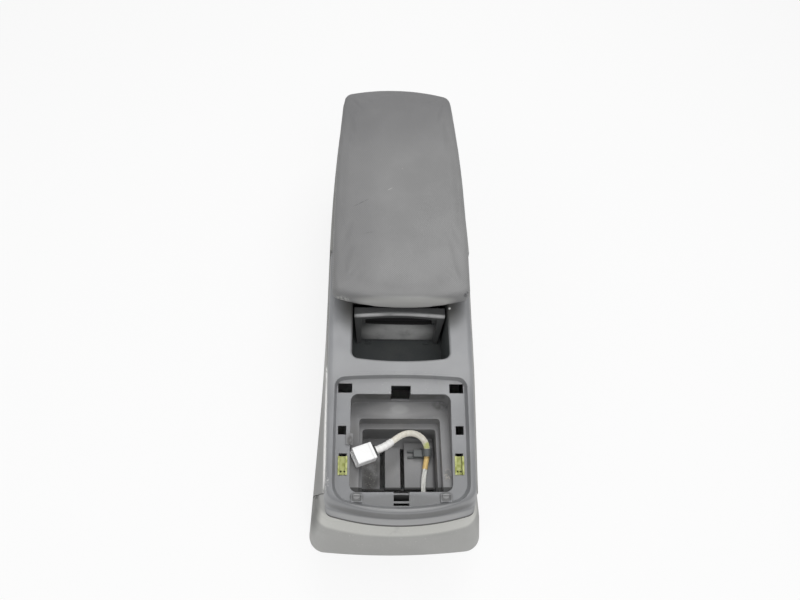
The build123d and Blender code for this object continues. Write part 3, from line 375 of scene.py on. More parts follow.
def marks_over(
    graph: Graph, marks: Sequence[Mark], colour: bpy.types.NodeSocket, rough: Value
) -> tuple[bpy.types.NodeSocket, Value]:
    """Lay marks of use, and of painted light and shade, over a surface.

    Args:
        graph: The material's tree.
        marks: The marks, the lowest first.
        colour: The colour below them.
        rough: The roughness below them.

    Returns:
        The colour and the roughness with the marks.
    """
    for mark in marks:
        mask = mark.mask(graph)
        colour = graph.blend(mask, colour, mark.colour)
        rough = rough + mask * Mark.ROUGHER
    return colour, rough


# Finishes


@dataclass(frozen=True)
class MouldedPlastic:
    """Injection-moulded plastic with a fine eroded grain.

    Attributes:
        name: Name of the finish.
        colour: Its colour.
        roughness: Its mean roughness.
        grain_pitch: Size of the grain.
        grain_depth: Depth of the grain.
        mottle: How much the colour drifts over the surface.
        edge_radius: Radius of the moulded edges.
        edge_pale: How much paler the edges are, as wear and as painted highlight.
        dust: How much dust lies on it.
        marks: Marks of use, and of painted light and shade.
    """

    name: str
    colour: Colour
    roughness: float = 0.52
    grain_pitch: float = 0.7 * MM
    grain_depth: float = 0.03 * MM
    mottle: float = 0.10
    edge_radius: float = 0.9 * MM
    edge_pale: float = 0.35
    dust: float = 0.0
    marks: tuple[Mark, ...] = ()

    DUST = (0.42, 0.40, 0.36)

    def make(self) -> bpy.types.Material:
        """Build the material."""
        graph = Graph(bpy.data.materials.new(self.name))
        rounded = graph.rounded(self.edge_radius)
        drift = graph.noise(60 * MM, 3.0)
        grain = graph.cells(self.grain_pitch)
        pale = tuple(min(1.0, part * 1.45 + 0.02) for part in self.colour)
        dark = tuple(part * (1.0 - self.mottle) for part in self.colour)
        light = tuple(part * (1.0 + self.mottle) for part in self.colour)
        colour = graph.blend(drift.ease(0.3, 0.7), dark, light)
        # Paler edges: wear, and a painted highlight along the rounded edges.
        edge = graph.edge(rounded).ease(0.01, 0.12) * graph.noise(9 * MM, 3.0).ease(0.35, 0.62)
        colour = graph.blend(edge * self.edge_pale, colour, pale)
        rough = self.roughness + (graph.noise(14 * MM, 4.0) - 0.5) * 0.16
        if self.dust:
            fine = graph.noise(1.4 * MM, 2.0).ease(0.62, 0.72)
            specks = fine + graph.noise(25 * MM, 4.0).ease(0.4, 0.8) * 0.5
            colour = graph.blend(specks * self.dust, colour, self.DUST)
            rough = rough + specks * (0.3 * self.dust)
        colour, rough = marks_over(graph, self.marks, colour, rough)
        normal = graph.relief(grain, self.grain_depth, rounded)
        return graph.finish({"Base Color": colour, "Roughness": rough, "Normal": normal, "IOR": 1.46})


@dataclass(frozen=True)
class GrainedVinyl:
    """Soft cover embossed with a fine weave, paler at its lip from wear and painted light.

    Attributes:
        name: Name of the finish.
        colour: Its colour.
        grain_pitch: Distance between threads.
        grain_depth: Depth between threads.
        marks: Marks of use, and of painted light and shade.
    """

    name: str
    colour: Colour
    grain_pitch: float = 1.3 * MM
    grain_depth: float = 0.10 * MM
    marks: tuple[Mark, ...] = ()

    def make(self) -> bpy.types.Material:
        """Build the material."""
        graph = Graph(bpy.data.materials.new(self.name))
        across = graph.axis("X")
        along = graph.axis("Y") + graph.axis("Z")
        pace = math.pi / self.grain_pitch
        weave = 0.5 + (across * pace).wave() * (along * pace).wave() * 0.5
        hollow = weave.ease(0.6, 0.2)
        drift = graph.noise(90 * MM, 4.0)
        dark = tuple(part * 0.90 for part in self.colour)
        light = tuple(part * 1.10 for part in self.colour)
        colour = graph.blend(drift.ease(0.3, 0.7), dark, light)
        colour = graph.blend(hollow * 0.34, colour, tuple(part * 0.55 for part in self.colour))
        rough = 0.50 + hollow * 0.14 + (graph.noise(18 * MM, 4.0) - 0.5) * 0.18
        colour, rough = marks_over(graph, self.marks, colour, rough)
        normal = graph.relief(weave, self.grain_depth)
        return graph.finish({"Base Color": colour, "Roughness": rough, "Normal": normal, "IOR": 1.48})


@dataclass(frozen=True)
class PlatedSteel:
    """Pressed steel with a plated or passivated skin.

    Attributes:
        name: Name of the finish.
        colour: Colour of the skin.
        stain: Colour of its duller patches.
        roughness: Its mean roughness.
    """

    name: str
    colour: Colour
    stain: Colour
    roughness: float = 0.34

    def make(self) -> bpy.types.Material:
        """Build the material."""
        graph = Graph(bpy.data.materials.new(self.name))
        rounded = graph.rounded(0.3 * MM)
        patches = graph.noise(5 * MM, 4.0)
        brushed = graph.noise(0.5 * MM, 2.0, (30.0, 1.0, 1.0))
        colour = graph.blend(patches.ease(0.42, 0.68), self.colour, self.stain)
        rough = self.roughness + patches * 0.18 + brushed * 0.10
        normal = graph.relief(brushed, 0.01 * MM, rounded)
        return graph.finish({"Base Color": colour, "Roughness": rough, "Metallic": 1.0, "Normal": normal})


@dataclass(frozen=True)
class MattRubber:
    """Moulded rubber with a bloom."""

    name: str
    colour: Colour

    def make(self) -> bpy.types.Material:
        """Build the material."""
        graph = Graph(bpy.data.materials.new(self.name))
        bloom = graph.noise(6 * MM, 4.0).ease(0.45, 0.75)
        colour = graph.blend(bloom * 0.4, self.colour, tuple(part * 2.2 + 0.01 for part in self.colour))
        normal = graph.relief(graph.noise(0.6 * MM, 2.0), 0.03 * MM, graph.rounded(0.5 * MM))
        return graph.finish({"Base Color": colour, "Roughness": 0.72 + bloom * 0.12, "Normal": normal})


@dataclass(frozen=True)
class BraidedSleeve:
    """Fibre or tape over wires, with a little soil.

    Attributes:
        name: Name of the finish.
        colour: Its colour.
        soil: Colour of its soiled patches.
        soiled: How much soil shows.
        gloss: How far it is from matt.
        marks: Marks of use.
    """

    name: str
    colour: Colour
    soil: Colour
    soiled: float = 0.5
    gloss: float = 0.0
    marks: tuple[Mark, ...] = ()

    def make(self) -> bpy.types.Material:
        """Build the material."""
        graph = Graph(bpy.data.materials.new(self.name))
        soil = graph.noise(3 * MM, 4.0).ease(0.45, 0.72)
        fibre = graph.noise(0.35 * MM, 2.0)
        colour = graph.blend(soil * self.soiled, self.colour, self.soil)
        colour = graph.blend(fibre.ease(0.55, 0.8) * 0.25, colour, tuple(part * 0.6 for part in self.colour))
        rough = 0.80 - self.gloss + soil * 0.1
        colour, rough = marks_over(graph, self.marks, colour, rough)
        normal = graph.relief(fibre, 0.06 * MM)
        return graph.finish({"Base Color": colour, "Roughness": rough, "Normal": normal})


@dataclass(frozen=True)
class PlugPlastic:
    """White plug housing with a dark wire entry and a fine line behind its collar.

    Attributes:
        name: Name of the finish.
        colour: Its colour.
        entry: Depth of the dark wire entry.
        collar: Distance from the wires to the line.
        line: Half the line's width.
    """

    name: str
    colour: Colour
    entry: float = 3.0 * MM
    collar: float = 6.4 * MM
    line: float = 0.3 * MM

    def make(self, origin: Triple, direction: Triple) -> bpy.types.Material:
        """Build the material.

        Args:
            origin: Where the wires end.
            direction: Where the plug points.

        Returns:
            The material.
        """
        graph = Graph(bpy.data.materials.new(self.name))
        reach = graph.along(origin, direction)
        inside = reach.ease(self.entry, self.entry - 0.1 * MM)
        groove = (reach - self.collar).size().ease(self.line, 0.3 * self.line)
        soil = graph.noise(6 * MM, 4.0).ease(0.5, 0.8)
        colour = graph.blend(soil * 0.12, self.colour, (0.62, 0.60, 0.56))
        colour = graph.blend(groove * 0.35, colour, (0.35, 0.35, 0.36))
        colour = graph.blend(inside, colour, (0.02, 0.02, 0.02))
        rough = 0.34 + soil * 0.2
        normal = graph.relief(1.0 - groove, 0.25 * MM, graph.rounded(0.8 * MM))
        return graph.finish({"Base Color": colour, "Roughness": rough, "Normal": normal})


@dataclass(frozen=True)
class Felt:
    """Dark felt strip."""

    name: str
    colour: Colour

    def make(self) -> bpy.types.Material:
        """Build the material."""
        graph = Graph(bpy.data.materials.new(self.name))
        fibre = graph.noise(0.5 * MM, 3.0, (1.0, 4.0, 1.0))
        pale = tuple(part * 1.8 + 0.01 for part in self.colour)
        colour = graph.blend(fibre.ease(0.35, 0.7), self.colour, pale)
        normal = graph.relief(fibre, 0.2 * MM)
        return graph.finish({"Base Color": colour, "Roughness": 0.95, "Normal": normal})


def coat(nodes: Iterable[str], material: bpy.types.Material) -> None:
    """Give solids of the frame a material.

    Args:
        nodes: Their names.
        material: What they are made of.
    """
    for name in nodes:
        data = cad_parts[name].data
        data.materials.clear()
        data.materials.append(material)
        LOG.info("dressed %s in %s", name, material.name)


def linked(name: str, data: bpy.types.ID) -> bpy.types.Object:
    """Put a new object with its data into the scene."""
    made = bpy.data.objects.new(name, data)
    bpy.context.scene.collection.objects.link(made)
    return made


def as_mesh(piece: bpy.types.Object) -> bpy.types.Object:
    """Turn a piece with its modifiers or bevel into a plain mesh of the same name.

    Args:
        piece: The piece, which is removed.

    Returns:
        The mesh object.
    """
    name = piece.name
    bpy.context.view_layer.update()
    mesh = bpy.data.meshes.new_from_object(piece.evaluated_get(bpy.context.evaluated_depsgraph_get()))
    bpy.data.objects.remove(piece)
    mesh.name = name
    return linked(name, mesh)


# Sub-assemblies


@dataclass
class Shell:
    """Outer mouldings: side walls, front skirt and top deck.

    Attributes:
        wall: Colour of the side walls.
        top: Colour of the deck.
        worn: Colour of bare, worn plastic, also used for a painted highlight along the left wall's top edge.
        grime_and_painted_shade: Colour of grit, of a dark seam line, and of painted shade below the lid, at
            the recess, along the nose and at its joint with the skirt.
        pale: Colour of the painted highlights on the deck's web, boss tops and nose.
        skirt_with_painted_light: Colour of the skirt, lighter than the walls' same plastic as painted light
            on its front-lit face.
        painted_lit_band: Colour of the painted light on its face above the crease.
        painted_flank_shade: Colour of the painted shade on the sides of the walls and of the skirt near the
            floor.
    """

    wall: Colour = (0.30, 0.30, 0.29)
    top: Colour = (0.247, 0.251, 0.260)
    worn: Colour = (0.93, 0.93, 0.91)
    grime_and_painted_shade: Colour = (0.08, 0.08, 0.075)
    pale: Colour = (0.42, 0.42, 0.42)
    # The skirt's colours are lighter than the walls' same plastic: painted light on its front-lit face.
    skirt_with_painted_light: Colour = (0.425, 0.425, 0.412)
    painted_lit_band: Colour = (0.64, 0.64, 0.61)
    painted_flank_shade: Colour = (0.22, 0.22, 0.212)

    def wall_marks(self) -> tuple[Mark, ...]:
        """Marks on the walls: painted shade over the left side, a near-white line along its top edge that is
        partly wear and partly painted highlight, a scuff and grit.
        """
        return (
            # Painted shade over the left wall near the floor.
            Mark.even((-0.095, -0.200, 0.05), (0.05, 0.16, 0.12), self.painted_flank_shade, 0.6),
            # Near-white line along the left wall's top edge: partly worn plastic, partly a painted highlight
            # on that edge.
            Mark(
                MarkKind.RUB, (-0.0797, -0.185, 0.146), (2.4 * MM, 0.085, 0.06), self.worn,
                strength=1.0, pitch=9 * MM, cover=0.95,
            ),
            Mark(
                MarkKind.RUB, (-0.0806, -0.124, 0.162), (1.8 * MM, 0.011, 4.5 * MM), self.worn,
                strength=0.9, pitch=4 * MM, cover=0.7,
            ),
            Mark(
                MarkKind.GRIT, (-0.090, -0.150, 0.10), (0.02, 0.12, 0.08), self.grime_and_painted_shade,
                strength=0.3, pitch=1.8 * MM, cover=0.2,
            ),
        )

    def skirt_marks(self) -> tuple[Mark, ...]:
        """Marks on the skirt: painted light on its face above the crease, painted shade on its sides, a dark
        line along its left seam and specks.
        """
        seam = []
        for x, y, z in ((-0.0957, -0.2200, 0.034), (-0.0925, -0.2245, 0.050), (-0.0890, -0.2298, 0.068)):
            seam.append(Mark.even((x, y, z), (8 * MM, 2.6 * MM, 0.012), self.grime_and_painted_shade, 0.85))
        return (
            # Painted light on the skirt's face just above the crease; the next mark puts the skirt's colour
            # back above that face.
            Mark(
                MarkKind.RUB, (0.0, -0.260, 0.630), (0.6, 4.0, 0.6), self.painted_lit_band,
                strength=1.0, pitch=30 * MM, cover=1.0, rim=0.993,
            ),
            Mark(
                MarkKind.RUB, (0.0, -0.260, 0.120), (0.3, 0.3, 0.07), self.skirt_with_painted_light,
                strength=1.0, pitch=30 * MM, cover=1.0, rim=0.7,
            ),
            # Painted shade on the skirt's left and right sides.
            Mark.even((-0.103, -0.225, 0.070), (0.021, 0.075, 0.075), self.painted_flank_shade, 0.95, rim=0.65),
            Mark.even((0.106, -0.225, 0.060), (0.021, 0.075, 0.075), self.painted_flank_shade, 0.6, rim=0.5),
            *seam,
            Mark(
                MarkKind.GRIT, (0.0, -0.260, 0.06), (0.11, 0.06, 0.08), self.worn,
                strength=0.3, pitch=1.8 * MM, cover=0.15,
            ),
        )

    def deck_marks(self) -> tuple[Mark, ...]:
        """Marks on the deck: a painted sheen on its web, painted shadow below the lid, painted shade at the
        recess and round its bosses, painted shade and highlights along the nose, and specks.
        """
        ring = (8 * MM, 6 * MM, 4 * MM)
        cap = (4.2 * MM, 2.8 * MM, 4 * MM)
        bosses = []
        # Painted shadow round each boss on the near ledge, and a painted highlight on its top.
        for x in (-0.0458, 0.0458):
            bosses.append(Mark.even((x, -0.249, 0.136), ring, self.grime_and_painted_shade, 0.5, rim=0.75))
            bosses.append(Mark.even((x, -0.2485, 0.137), cap, self.pale, 0.5, rim=0.75))
        return (
            # Painted sheen on the web between the pocket and the recess.
            Mark.even((0.0, -0.126, 0.165), (0.11, 0.042, 0.04), self.pale, 0.22),
            # Painted shadow of the lid on the deck at each side of the pocket.
            Mark.even((-0.050, -0.045, 0.180), (0.026, 0.046, 0.03), self.grime_and_painted_shade, 0.95, rim=0.25),
            Mark.even((0.050, -0.045, 0.180), (0.028, 0.044, 0.03), self.grime_and_painted_shade, 0.90, rim=0.25),
            # Painted shade over the recess and its near ledge.
            Mark.even((0.0, -0.235, 0.145), (0.09, 0.07, 0.03), self.grime_and_painted_shade, 0.12),
            # Painted shade on the recess's near wall.
            Mark(
                MarkKind.RUB, (0.0, -0.252, 0.1345), (0.062, 9 * MM, 4 * MM), self.grime_and_painted_shade,
                strength=0.42, pitch=15 * MM, cover=1.0,
            ),
            *bosses,
            # Along the nose: painted shade in its groove, painted highlights at its foot and along its rim,
            # and a painted shadow line at its joint with the skirt.
            Mark.even((0.0, -0.272, 0.1255), (0.2, 0.030, 11 * MM), self.grime_and_painted_shade, 0.6),
            Mark.even((0.0, -0.275, 0.1135), (0.2, 0.030, 4.5 * MM), self.pale, 0.8),
            Mark.even((0.0, -0.262, 0.1415), (0.075, 0.012, 5 * MM), self.pale, 0.65),
            Mark.even((0.0, -0.275, 0.1085), (0.3, 0.08, 2.6 * MM), self.grime_and_painted_shade, 0.9, rim=0.8),
            Mark(
                MarkKind.GRIT, (0.0558, -0.0498, 0.180), (2.0 * MM, 1.8 * MM, 4 * MM), self.worn,
                strength=0.9, pitch=2 * MM, cover=0.8,
            ),
            Mark(
                MarkKind.RUB, (-0.077, -0.236, 0.142), (4.0 * MM, 0.012, 0.02), self.worn,
                strength=0.4, pitch=2 * MM, cover=0.4,
            ),
            Mark(
                MarkKind.GRIT, (0.0, -0.190, 0.150), (0.075, 0.09, 0.05), self.worn,
                strength=0.3, pitch=1.6 * MM, cover=0.14,
            ),
        )

    def build(self) -> None:
        """Choose the finishes of the mouldings."""
        self.walls = MouldedPlastic(
            "console_plastic", self.wall, roughness=0.5, mottle=0.04, marks=self.wall_marks()
        )
        self.skirt = MouldedPlastic(
            "skirt_plastic", self.skirt_with_painted_light, roughness=0.5, mottle=0.04, marks=self.skirt_marks()
        )
        self.deck = MouldedPlastic(
            "deck_plastic", self.top, roughness=0.34, edge_pale=0.7, marks=self.deck_marks()
        )

    def dress(self) -> None:
        """Dress the mouldings."""
        coat(("side_housing",), self.walls.make())
        coat(("front_skirt",), self.skirt.make())
        coat(("upper_panel",), self.deck.make())


@dataclass
class TrimRecess:
    """Stepped tray below the recess, and the clips in its ledge.

    Attributes:
        grey: Colour of the tray.
        dirt_and_painted_shade: Colour of soil in the tray, and of painted shade on its far wall, its hook and
            the deep left part of its floor.
        dust: Colour of what lies on it.
        shade: Colour of the painted shadow in its front strips and its latch notch.
        sheen: Colour of its brightest ledge.
        clip: Finish of the clips.
    """

    grey: Colour = (0.20, 0.20, 0.204)
    dirt_and_painted_shade: Colour = (0.045, 0.043, 0.038)
    dust: Colour = (0.40, 0.38, 0.33)
    shade: Colour = (0.006, 0.006, 0.006)
    sheen: Colour = (0.42, 0.42, 0.42)
    clip: PlatedSteel = PlatedSteel(
        "passivated_steel", (0.33, 0.345, 0.16), stain=(0.22, 0.24, 0.07), roughness=0.46
    )

    def marks(self) -> tuple[Mark, ...]:
        """Marks in the tray: painted shadow in its front strips and notch, a pale far ledge, painted shade on
        its far wall, hook and floor, a darker left ledge, soil, and dust.
        """
        # Painted shadow in dark strips along the front of each step, below the ledge edges above them.
        strip = (0.2, 3.0 * MM, 6 * MM)
        fronts = []
        for y, z in ((-0.2405, 0.131), (-0.2365, 0.116), (-0.2290, 0.0885)):
            fronts.append(Mark.even((0.0, y, z), strip, self.shade, 0.9, rim=0.8))
        return (
            *fronts,
            # Painted shadow in the latch notch.
            Mark.even((0.0, -0.2475, 0.117), (0.013, 2 * MM, 0.03), self.shade, 1.0, rim=0.8),
            # Painted shade on the tray's far wall.
            Mark(
                MarkKind.SMEAR, (0.0, -0.143, 0.147), (0.075, 2.5 * MM, 0.013), self.dirt_and_painted_shade,
                strength=0.6, pitch=12 * MM, cover=0.9,
            ),
            Mark.even((0.0, -0.152, 0.131), (0.055, 0.012, 4 * MM), self.sheen, 0.35),
            Mark.even((0.0, -0.1515, 0.131), (0.013, 7 * MM, 5 * MM), self.sheen, 0.5),
            # Painted shadow on the hook at the aperture's left edge.
            Mark(
                MarkKind.SMEAR, (-0.0535, -0.1945, 0.150), (4 * MM, 7 * MM, 7 * MM), self.dirt_and_painted_shade,
                strength=0.75, pitch=2.5 * MM, cover=0.75,
            ),
            Mark(
                MarkKind.SMEAR, (-0.049, -0.205, 0.131), (7 * MM, 0.05, 5 * MM), self.dirt_and_painted_shade,
                strength=0.35, pitch=14 * MM, cover=0.8,
            ),
            # Painted shade on the deep left part of the floor, beside the ribs.
            Mark(
                MarkKind.SMEAR, (-0.030, -0.205, 0.086), (0.014, 0.036, 6 * MM), self.dirt_and_painted_shade,
                strength=0.75, pitch=8 * MM, cover=0.8,
            ),
            Mark(
                MarkKind.GRIT, (0.0497, -0.2251, 0.131), (5 * MM, 8 * MM, 6 * MM), self.dust,
                strength=0.7, pitch=2.2 * MM, cover=0.45,
            ),
            Mark(
                MarkKind.SMEAR, (0.0497, -0.2251, 0.131), (6 * MM, 9 * MM, 6 * MM), self.dirt_and_painted_shade,
                strength=0.5, pitch=4 * MM, cover=0.4,
            ),
            Mark(
                MarkKind.SMEAR, (0.046, -0.146, 0.131), (0.012, 0.010, 6 * MM), self.dirt_and_painted_shade,
                strength=0.55, pitch=4 * MM, cover=0.5,
            ),
            Mark(
                MarkKind.GRIT, (-0.032, -0.212, 0.086), (0.012, 0.02, 6 * MM), self.dust,
                strength=0.7, pitch=1.3 * MM, cover=0.22,
            ),
        )

    def build(self) -> None:
        """Choose the finish of the tray."""
        self.tray = MouldedPlastic(
            "tray_plastic", self.grey, roughness=0.42, edge_pale=0.8, dust=0.22, marks=self.marks()
        )

    def dress(self) -> None:
        """Dress the tray and the clips."""
        coat(("inner_tray",), self.tray.make())
        coat(("panel_clip_left", "panel_clip_right"), self.clip.make())


@dataclass
class Pocket:
    """Dark liner, the strips on its floor and the sliding tray.

    Attributes:
        liner: Finish of the liner.
        strips: Finish of the strips.
        inside: Finish of the sliding tray's inside.
        front: Colour of the sliding tray's front.
        painted_bar_highlight: Colour of the painted highlight along its bar.
        dust: Colour of the dust on its panel, made pale enough to be painted light on that shaded face.
        shade: Colour of the painted shadow in the slot behind its bar.
    """

    liner: MouldedPlastic = MouldedPlastic(
        "liner_plastic", (0.070, 0.077, 0.079), roughness=0.55, dust=0.10,
        marks=(
            # Painted light on the liner's left wall.
            Mark.even((-0.0535, -0.085, 0.150), (5 * MM, 0.035, 0.035), (0.33, 0.34, 0.34), 0.95),
        ),
    )
    strips: Felt = Felt("glide_felt", (0.050, 0.055, 0.056))
    inside: MouldedPlastic = MouldedPlastic("drawer_inside", (0.03, 0.03, 0.031), roughness=0.5)
    front: Colour = (0.12, 0.122, 0.123)
    painted_bar_highlight: Colour = (0.80, 0.80, 0.80)
    dust: Colour = (0.86, 0.86, 0.85)
    shade: Colour = (0.008, 0.008, 0.008)

    def marks(self) -> tuple[Mark, ...]:
        """Marks on the sliding tray: a painted highlight on its bar, dust with painted light on its panel,
        and painted shadow in the slot behind the bar.
        """
        return (
            # Painted highlight along the bar's rounded edge.
            Mark(
                MarkKind.SMEAR, (0.0, -0.0545, 0.169), (0.075, 4 * MM, 4 * MM), self.painted_bar_highlight,
                strength=0.8, pitch=25 * MM, cover=0.9,
            ),
            # Dust on the panel, made pale and strong enough to be painted light on this shaded face.
            Mark(
                MarkKind.SMEAR, (0.0, -0.047, 0.118), (0.060, 8 * MM, 0.034), self.dust,
                strength=0.85, pitch=25 * MM, cover=0.85,
            ),
            # Painted shadow in the slot behind the bar.
            Mark.even((0.003, -0.0465, 0.143), (0.057, 5 * MM, 3.4 * MM), self.shade, 1.0, rim=0.8),
        )

    def build(self) -> None:
        """Choose the finish of the sliding tray's front."""
        self.drawer = MouldedPlastic(
            "drawer_plastic", self.front, roughness=0.34, edge_pale=0.6, marks=self.marks()
        )

    def dress(self) -> None:
        """Dress the liner, the strips and the sliding tray."""
        coat(("pocket_liner",), self.liner.make())
        coat(("drawer_front",), self.drawer.make())
        coat(("drawer_box",), self.inside.make())
        coat(("glide_strips",), self.strips.make())


@dataclass(frozen=True)
class Lay:
    """How strands lie round the line of the wires.

    Attributes:
        reach: Where they start and end, as shares of the line's length.
        count: How many there are each way round.
        ways: The ways round that they turn.
        offset: Their distance from the line.
        radius: Their thickness, halved.
        turn: Length of one turn.
        weave: How far they pass over and under each other.
    """

    reach: tuple[float, float]
    count: int
    ways: tuple[int, ...]
    offset: float
    radius: float
    turn: float
    weave: float = 0.0


@dataclass
class Harness:
    """Braided wires in the tray, their plug, retainer and grommet.

    Attributes:
        route: Control points of the wires' line, from the grommet to the plug, in millimetres.
        girth: Thickness of the core at each control point, as a share of the diameter.
        diameter: Diameter of the bundle.
        length: Its length along the line; not used.
        wires: The bare wires between the grommet and the tape.
        braid: The braid from the retainer to the plug's wrap.
        tape_reach: Where the tape below the retainer starts and ends.
        wrap_reach: Where the plug's wrap starts and ends.
        tape_radius: Radius of the tape.
        tape_step: How much thicker each turn of the tape is where it overlaps the last.
        wrap_radius: Radius of the wrap.
        wrap_step: How much thicker each turn of the wrap is where it overlaps the last.
        wrap_turn: Length of one turn of the tape or the wrap.
        line_step: Points of the line for each control point.
        sleeve: Finish of the braid.
        jacket: Finish of the wires.
        tape: Finish of the tape.
        wrap: Finish of the wrap.
        plug: Finish of the plug.
        clip: Finish of the retainer.
        seal: Finish of the grommet.
    """

    route: tuple[Triple, ...] = (
        (27.0, -234.0, 94.55),
        (27.0, -218.0, 94.55),
        (30.0, -203.5, 96.05),
        (32.5, -190.0, 100.55),
        (30.0, -179.5, 106.55),
        (21.5, -173.5, 112.05),
        (10.5, -173.2, 116.55),
        (0.5, -178.5, 120.55),
        (-9.0, -187.5, 126.05),
        (-18.0, -195.5, 130.85),
        (-27.0, -199.6, 133.45),
    )
    girth: tuple[float, ...] = (0.5, 0.5, 0.75, 0.9, 0.86, 0.86, 0.86, 0.86, 0.9, 0.95, 0.95)
    diameter: float = 5.4 * MM
    length: float = 0.1295
    wires: Lay = Lay(
        (0.0, 0.24), count=3, ways=(1,), offset=1.6 * MM, radius=1.35 * MM, turn=90 * MM
    )
    braid: Lay = Lay(
        (0.35, 0.86), count=9, ways=(1, -1), offset=2.85 * MM, radius=0.46 * MM, turn=17 * MM, weave=0.24 * MM
    )
    tape_reach: tuple[float, float] = (0.20, 0.315)
    wrap_reach: tuple[float, float] = (0.82, 1.0)
    tape_radius: float = 2.95 * MM
    tape_step: float = 0.1 * MM
    wrap_radius: float = 3.9 * MM
    wrap_step: float = 0.45 * MM
    wrap_turn: float = 5.5 * MM
    line_step: int = 24
    sleeve: BraidedSleeve = BraidedSleeve(
        "harness_braid", (0.93, 0.90, 0.81), soil=(0.66, 0.58, 0.43), soiled=0.35,
        marks=(
            Mark(
                MarkKind.SMEAR, (0.0315, -0.184, 0.104), (6 * MM, 5 * MM, 8 * MM), (0.62, 0.66, 0.16),
                strength=0.8, pitch=3 * MM, cover=0.9,
            ),
        ),
    )
    jacket: BraidedSleeve = BraidedSleeve(
        "wire_jacket", (0.78, 0.78, 0.74), soil=(0.52, 0.51, 0.45), soiled=0.4, gloss=0.3
    )
    tape: BraidedSleeve = BraidedSleeve(
        "harness_tape", (0.78, 0.55, 0.22), soil=(0.50, 0.34, 0.12), soiled=0.4, gloss=0.25
    )
    wrap: BraidedSleeve = BraidedSleeve(
        "plug_wrap", (0.96, 0.955, 0.94), soil=(0.72, 0.70, 0.64), soiled=0.3, gloss=0.2
    )
    plug: PlugPlastic = PlugPlastic("connector_white", (0.97, 0.97, 0.965))
    clip: MouldedPlastic = MouldedPlastic("retainer_plastic", (0.105, 0.112, 0.112), roughness=0.5)
    seal: MattRubber = MattRubber("grommet_rubber", (0.02, 0.02, 0.02))

    def line(self, name: str, thickness: float) -> bpy.types.Object:
        """Draw the wires' line as a curve.

        Args:
            name: The curve's name.
            thickness: Its thickness where the girth is 1, or 0 for a bare line.

        Returns:
            The curve.
        """
        curve = bpy.data.curves.new(name, "CURVE")
        curve.dimensions = "3D"
        curve.bevel_depth = 1.0 if thickness else 0.0
        curve.bevel_resolution = 5
        curve.use_fill_caps = True
        spline = curve.splines.new("NURBS")
        spline.points.add(len(self.route) - 1)
        for point, place, girth in zip(spline.points, self.route, self.girth):
            point.co = (*(MM * part for part in place), 1.0)
            point.radius = girth * thickness / 2
        spline.order_u = 3
        spline.use_endpoint_u = True
        spline.resolution_u = self.line_step
        return linked(name, curve)

    def stations(self) -> list[tuple[float, Vector, Vector, Vector]]:
        """Points along the line: distance from its start, place, and two directions square to it."""
        bare = self.line("harness_line", 0.0)
        mesh = bpy.data.meshes.new_from_object(bare)
        places = [vertex.co.copy() for vertex in mesh.vertices]
        bpy.data.objects.remove(bare)
        bpy.data.meshes.remove(mesh)
        found = []
        distance, side = 0.0, Vector((0.0, 0.0, 1.0))
        for index, place in enumerate(places):
            before, after = places[max(index - 1, 0)], places[min(index + 1, len(places) - 1)]
            ahead = (after - before).normalized()
            side = (side - ahead * side.dot(ahead)).normalized()
            distance += (place - before).length
            found.append((distance, place, side.copy(), ahead.cross(side)))
        return found

    def tubes(
        self, name: str, runs: Sequence[Sequence[tuple[Vector, float]]], resolution: int
    ) -> bpy.types.Object:
        """Make round tubes along runs of points.

        Args:
            name: Name of the piece.
            runs: For each tube, its points and its radius at each.
            resolution: How round the tubes are.

        Returns:
            The piece, as a mesh.
        """
        curve = bpy.data.curves.new(name, "CURVE")
        curve.dimensions = "3D"
        curve.bevel_depth = 1.0
        curve.bevel_resolution = resolution
        curve.use_fill_caps = True
        for run in runs:
            spline = curve.splines.new("POLY")
            spline.points.add(len(run) - 1)
            for point, (place, radius) in zip(spline.points, run):
                point.co = (*place, 1.0)
                point.radius = radius
        piece = as_mesh(linked(name, curve))
        piece.data.shade_smooth()
        LOG.info("laid %s", name)
        return piece

    def strands(self, name: str, lay: Lay) -> bpy.types.Object:
        """Lay strands round the line.

        Args:
            name: Name of the piece.
            lay: How they lie.

        Returns:
            The piece.
        """
        stations = self.stations()
        whole = stations[-1][0]
        crossing = lay.turn / (2 * lay.count)
        runs = []
        for way in lay.ways:
            for index in range(lay.count):
                run = []
                for distance, place, side, up in stations:
                    if not lay.reach[0] * whole <= distance <= lay.reach[1] * whole:
                        continue
                    angle = math.tau * (index / lay.count + way * distance / lay.turn)
                    rise = way * lay.weave * math.cos(math.pi * (distance / crossing + index))
                    spoke = math.cos(angle) * side + math.sin(angle) * up
                    run.append((place + (lay.offset + rise) * spoke, lay.radius))
                runs.append(run)
        return self.tubes(name, runs, resolution=2)

    def band(self, name: str, reach: tuple[float, float], radius: float, step: float) -> bpy.types.Object:
        """Wind a band of tape round the line.

        Args:
            name: Name of the piece.
            reach: Where it starts and ends, as shares of the line's length.
            radius: Its radius.
            step: How much thicker each turn is where it overlaps the last.

        Returns:
            The piece.
        """
        stations = self.stations()
        whole = stations[-1][0]
        run = []
        for distance, place, _, _ in stations:
            if reach[0] * whole <= distance <= reach[1] * whole:
                turn = distance / self.wrap_turn % 1.0
                run.append((place, radius + step * (1.0 - turn)))
        return self.tubes(name, [run], resolution=6)

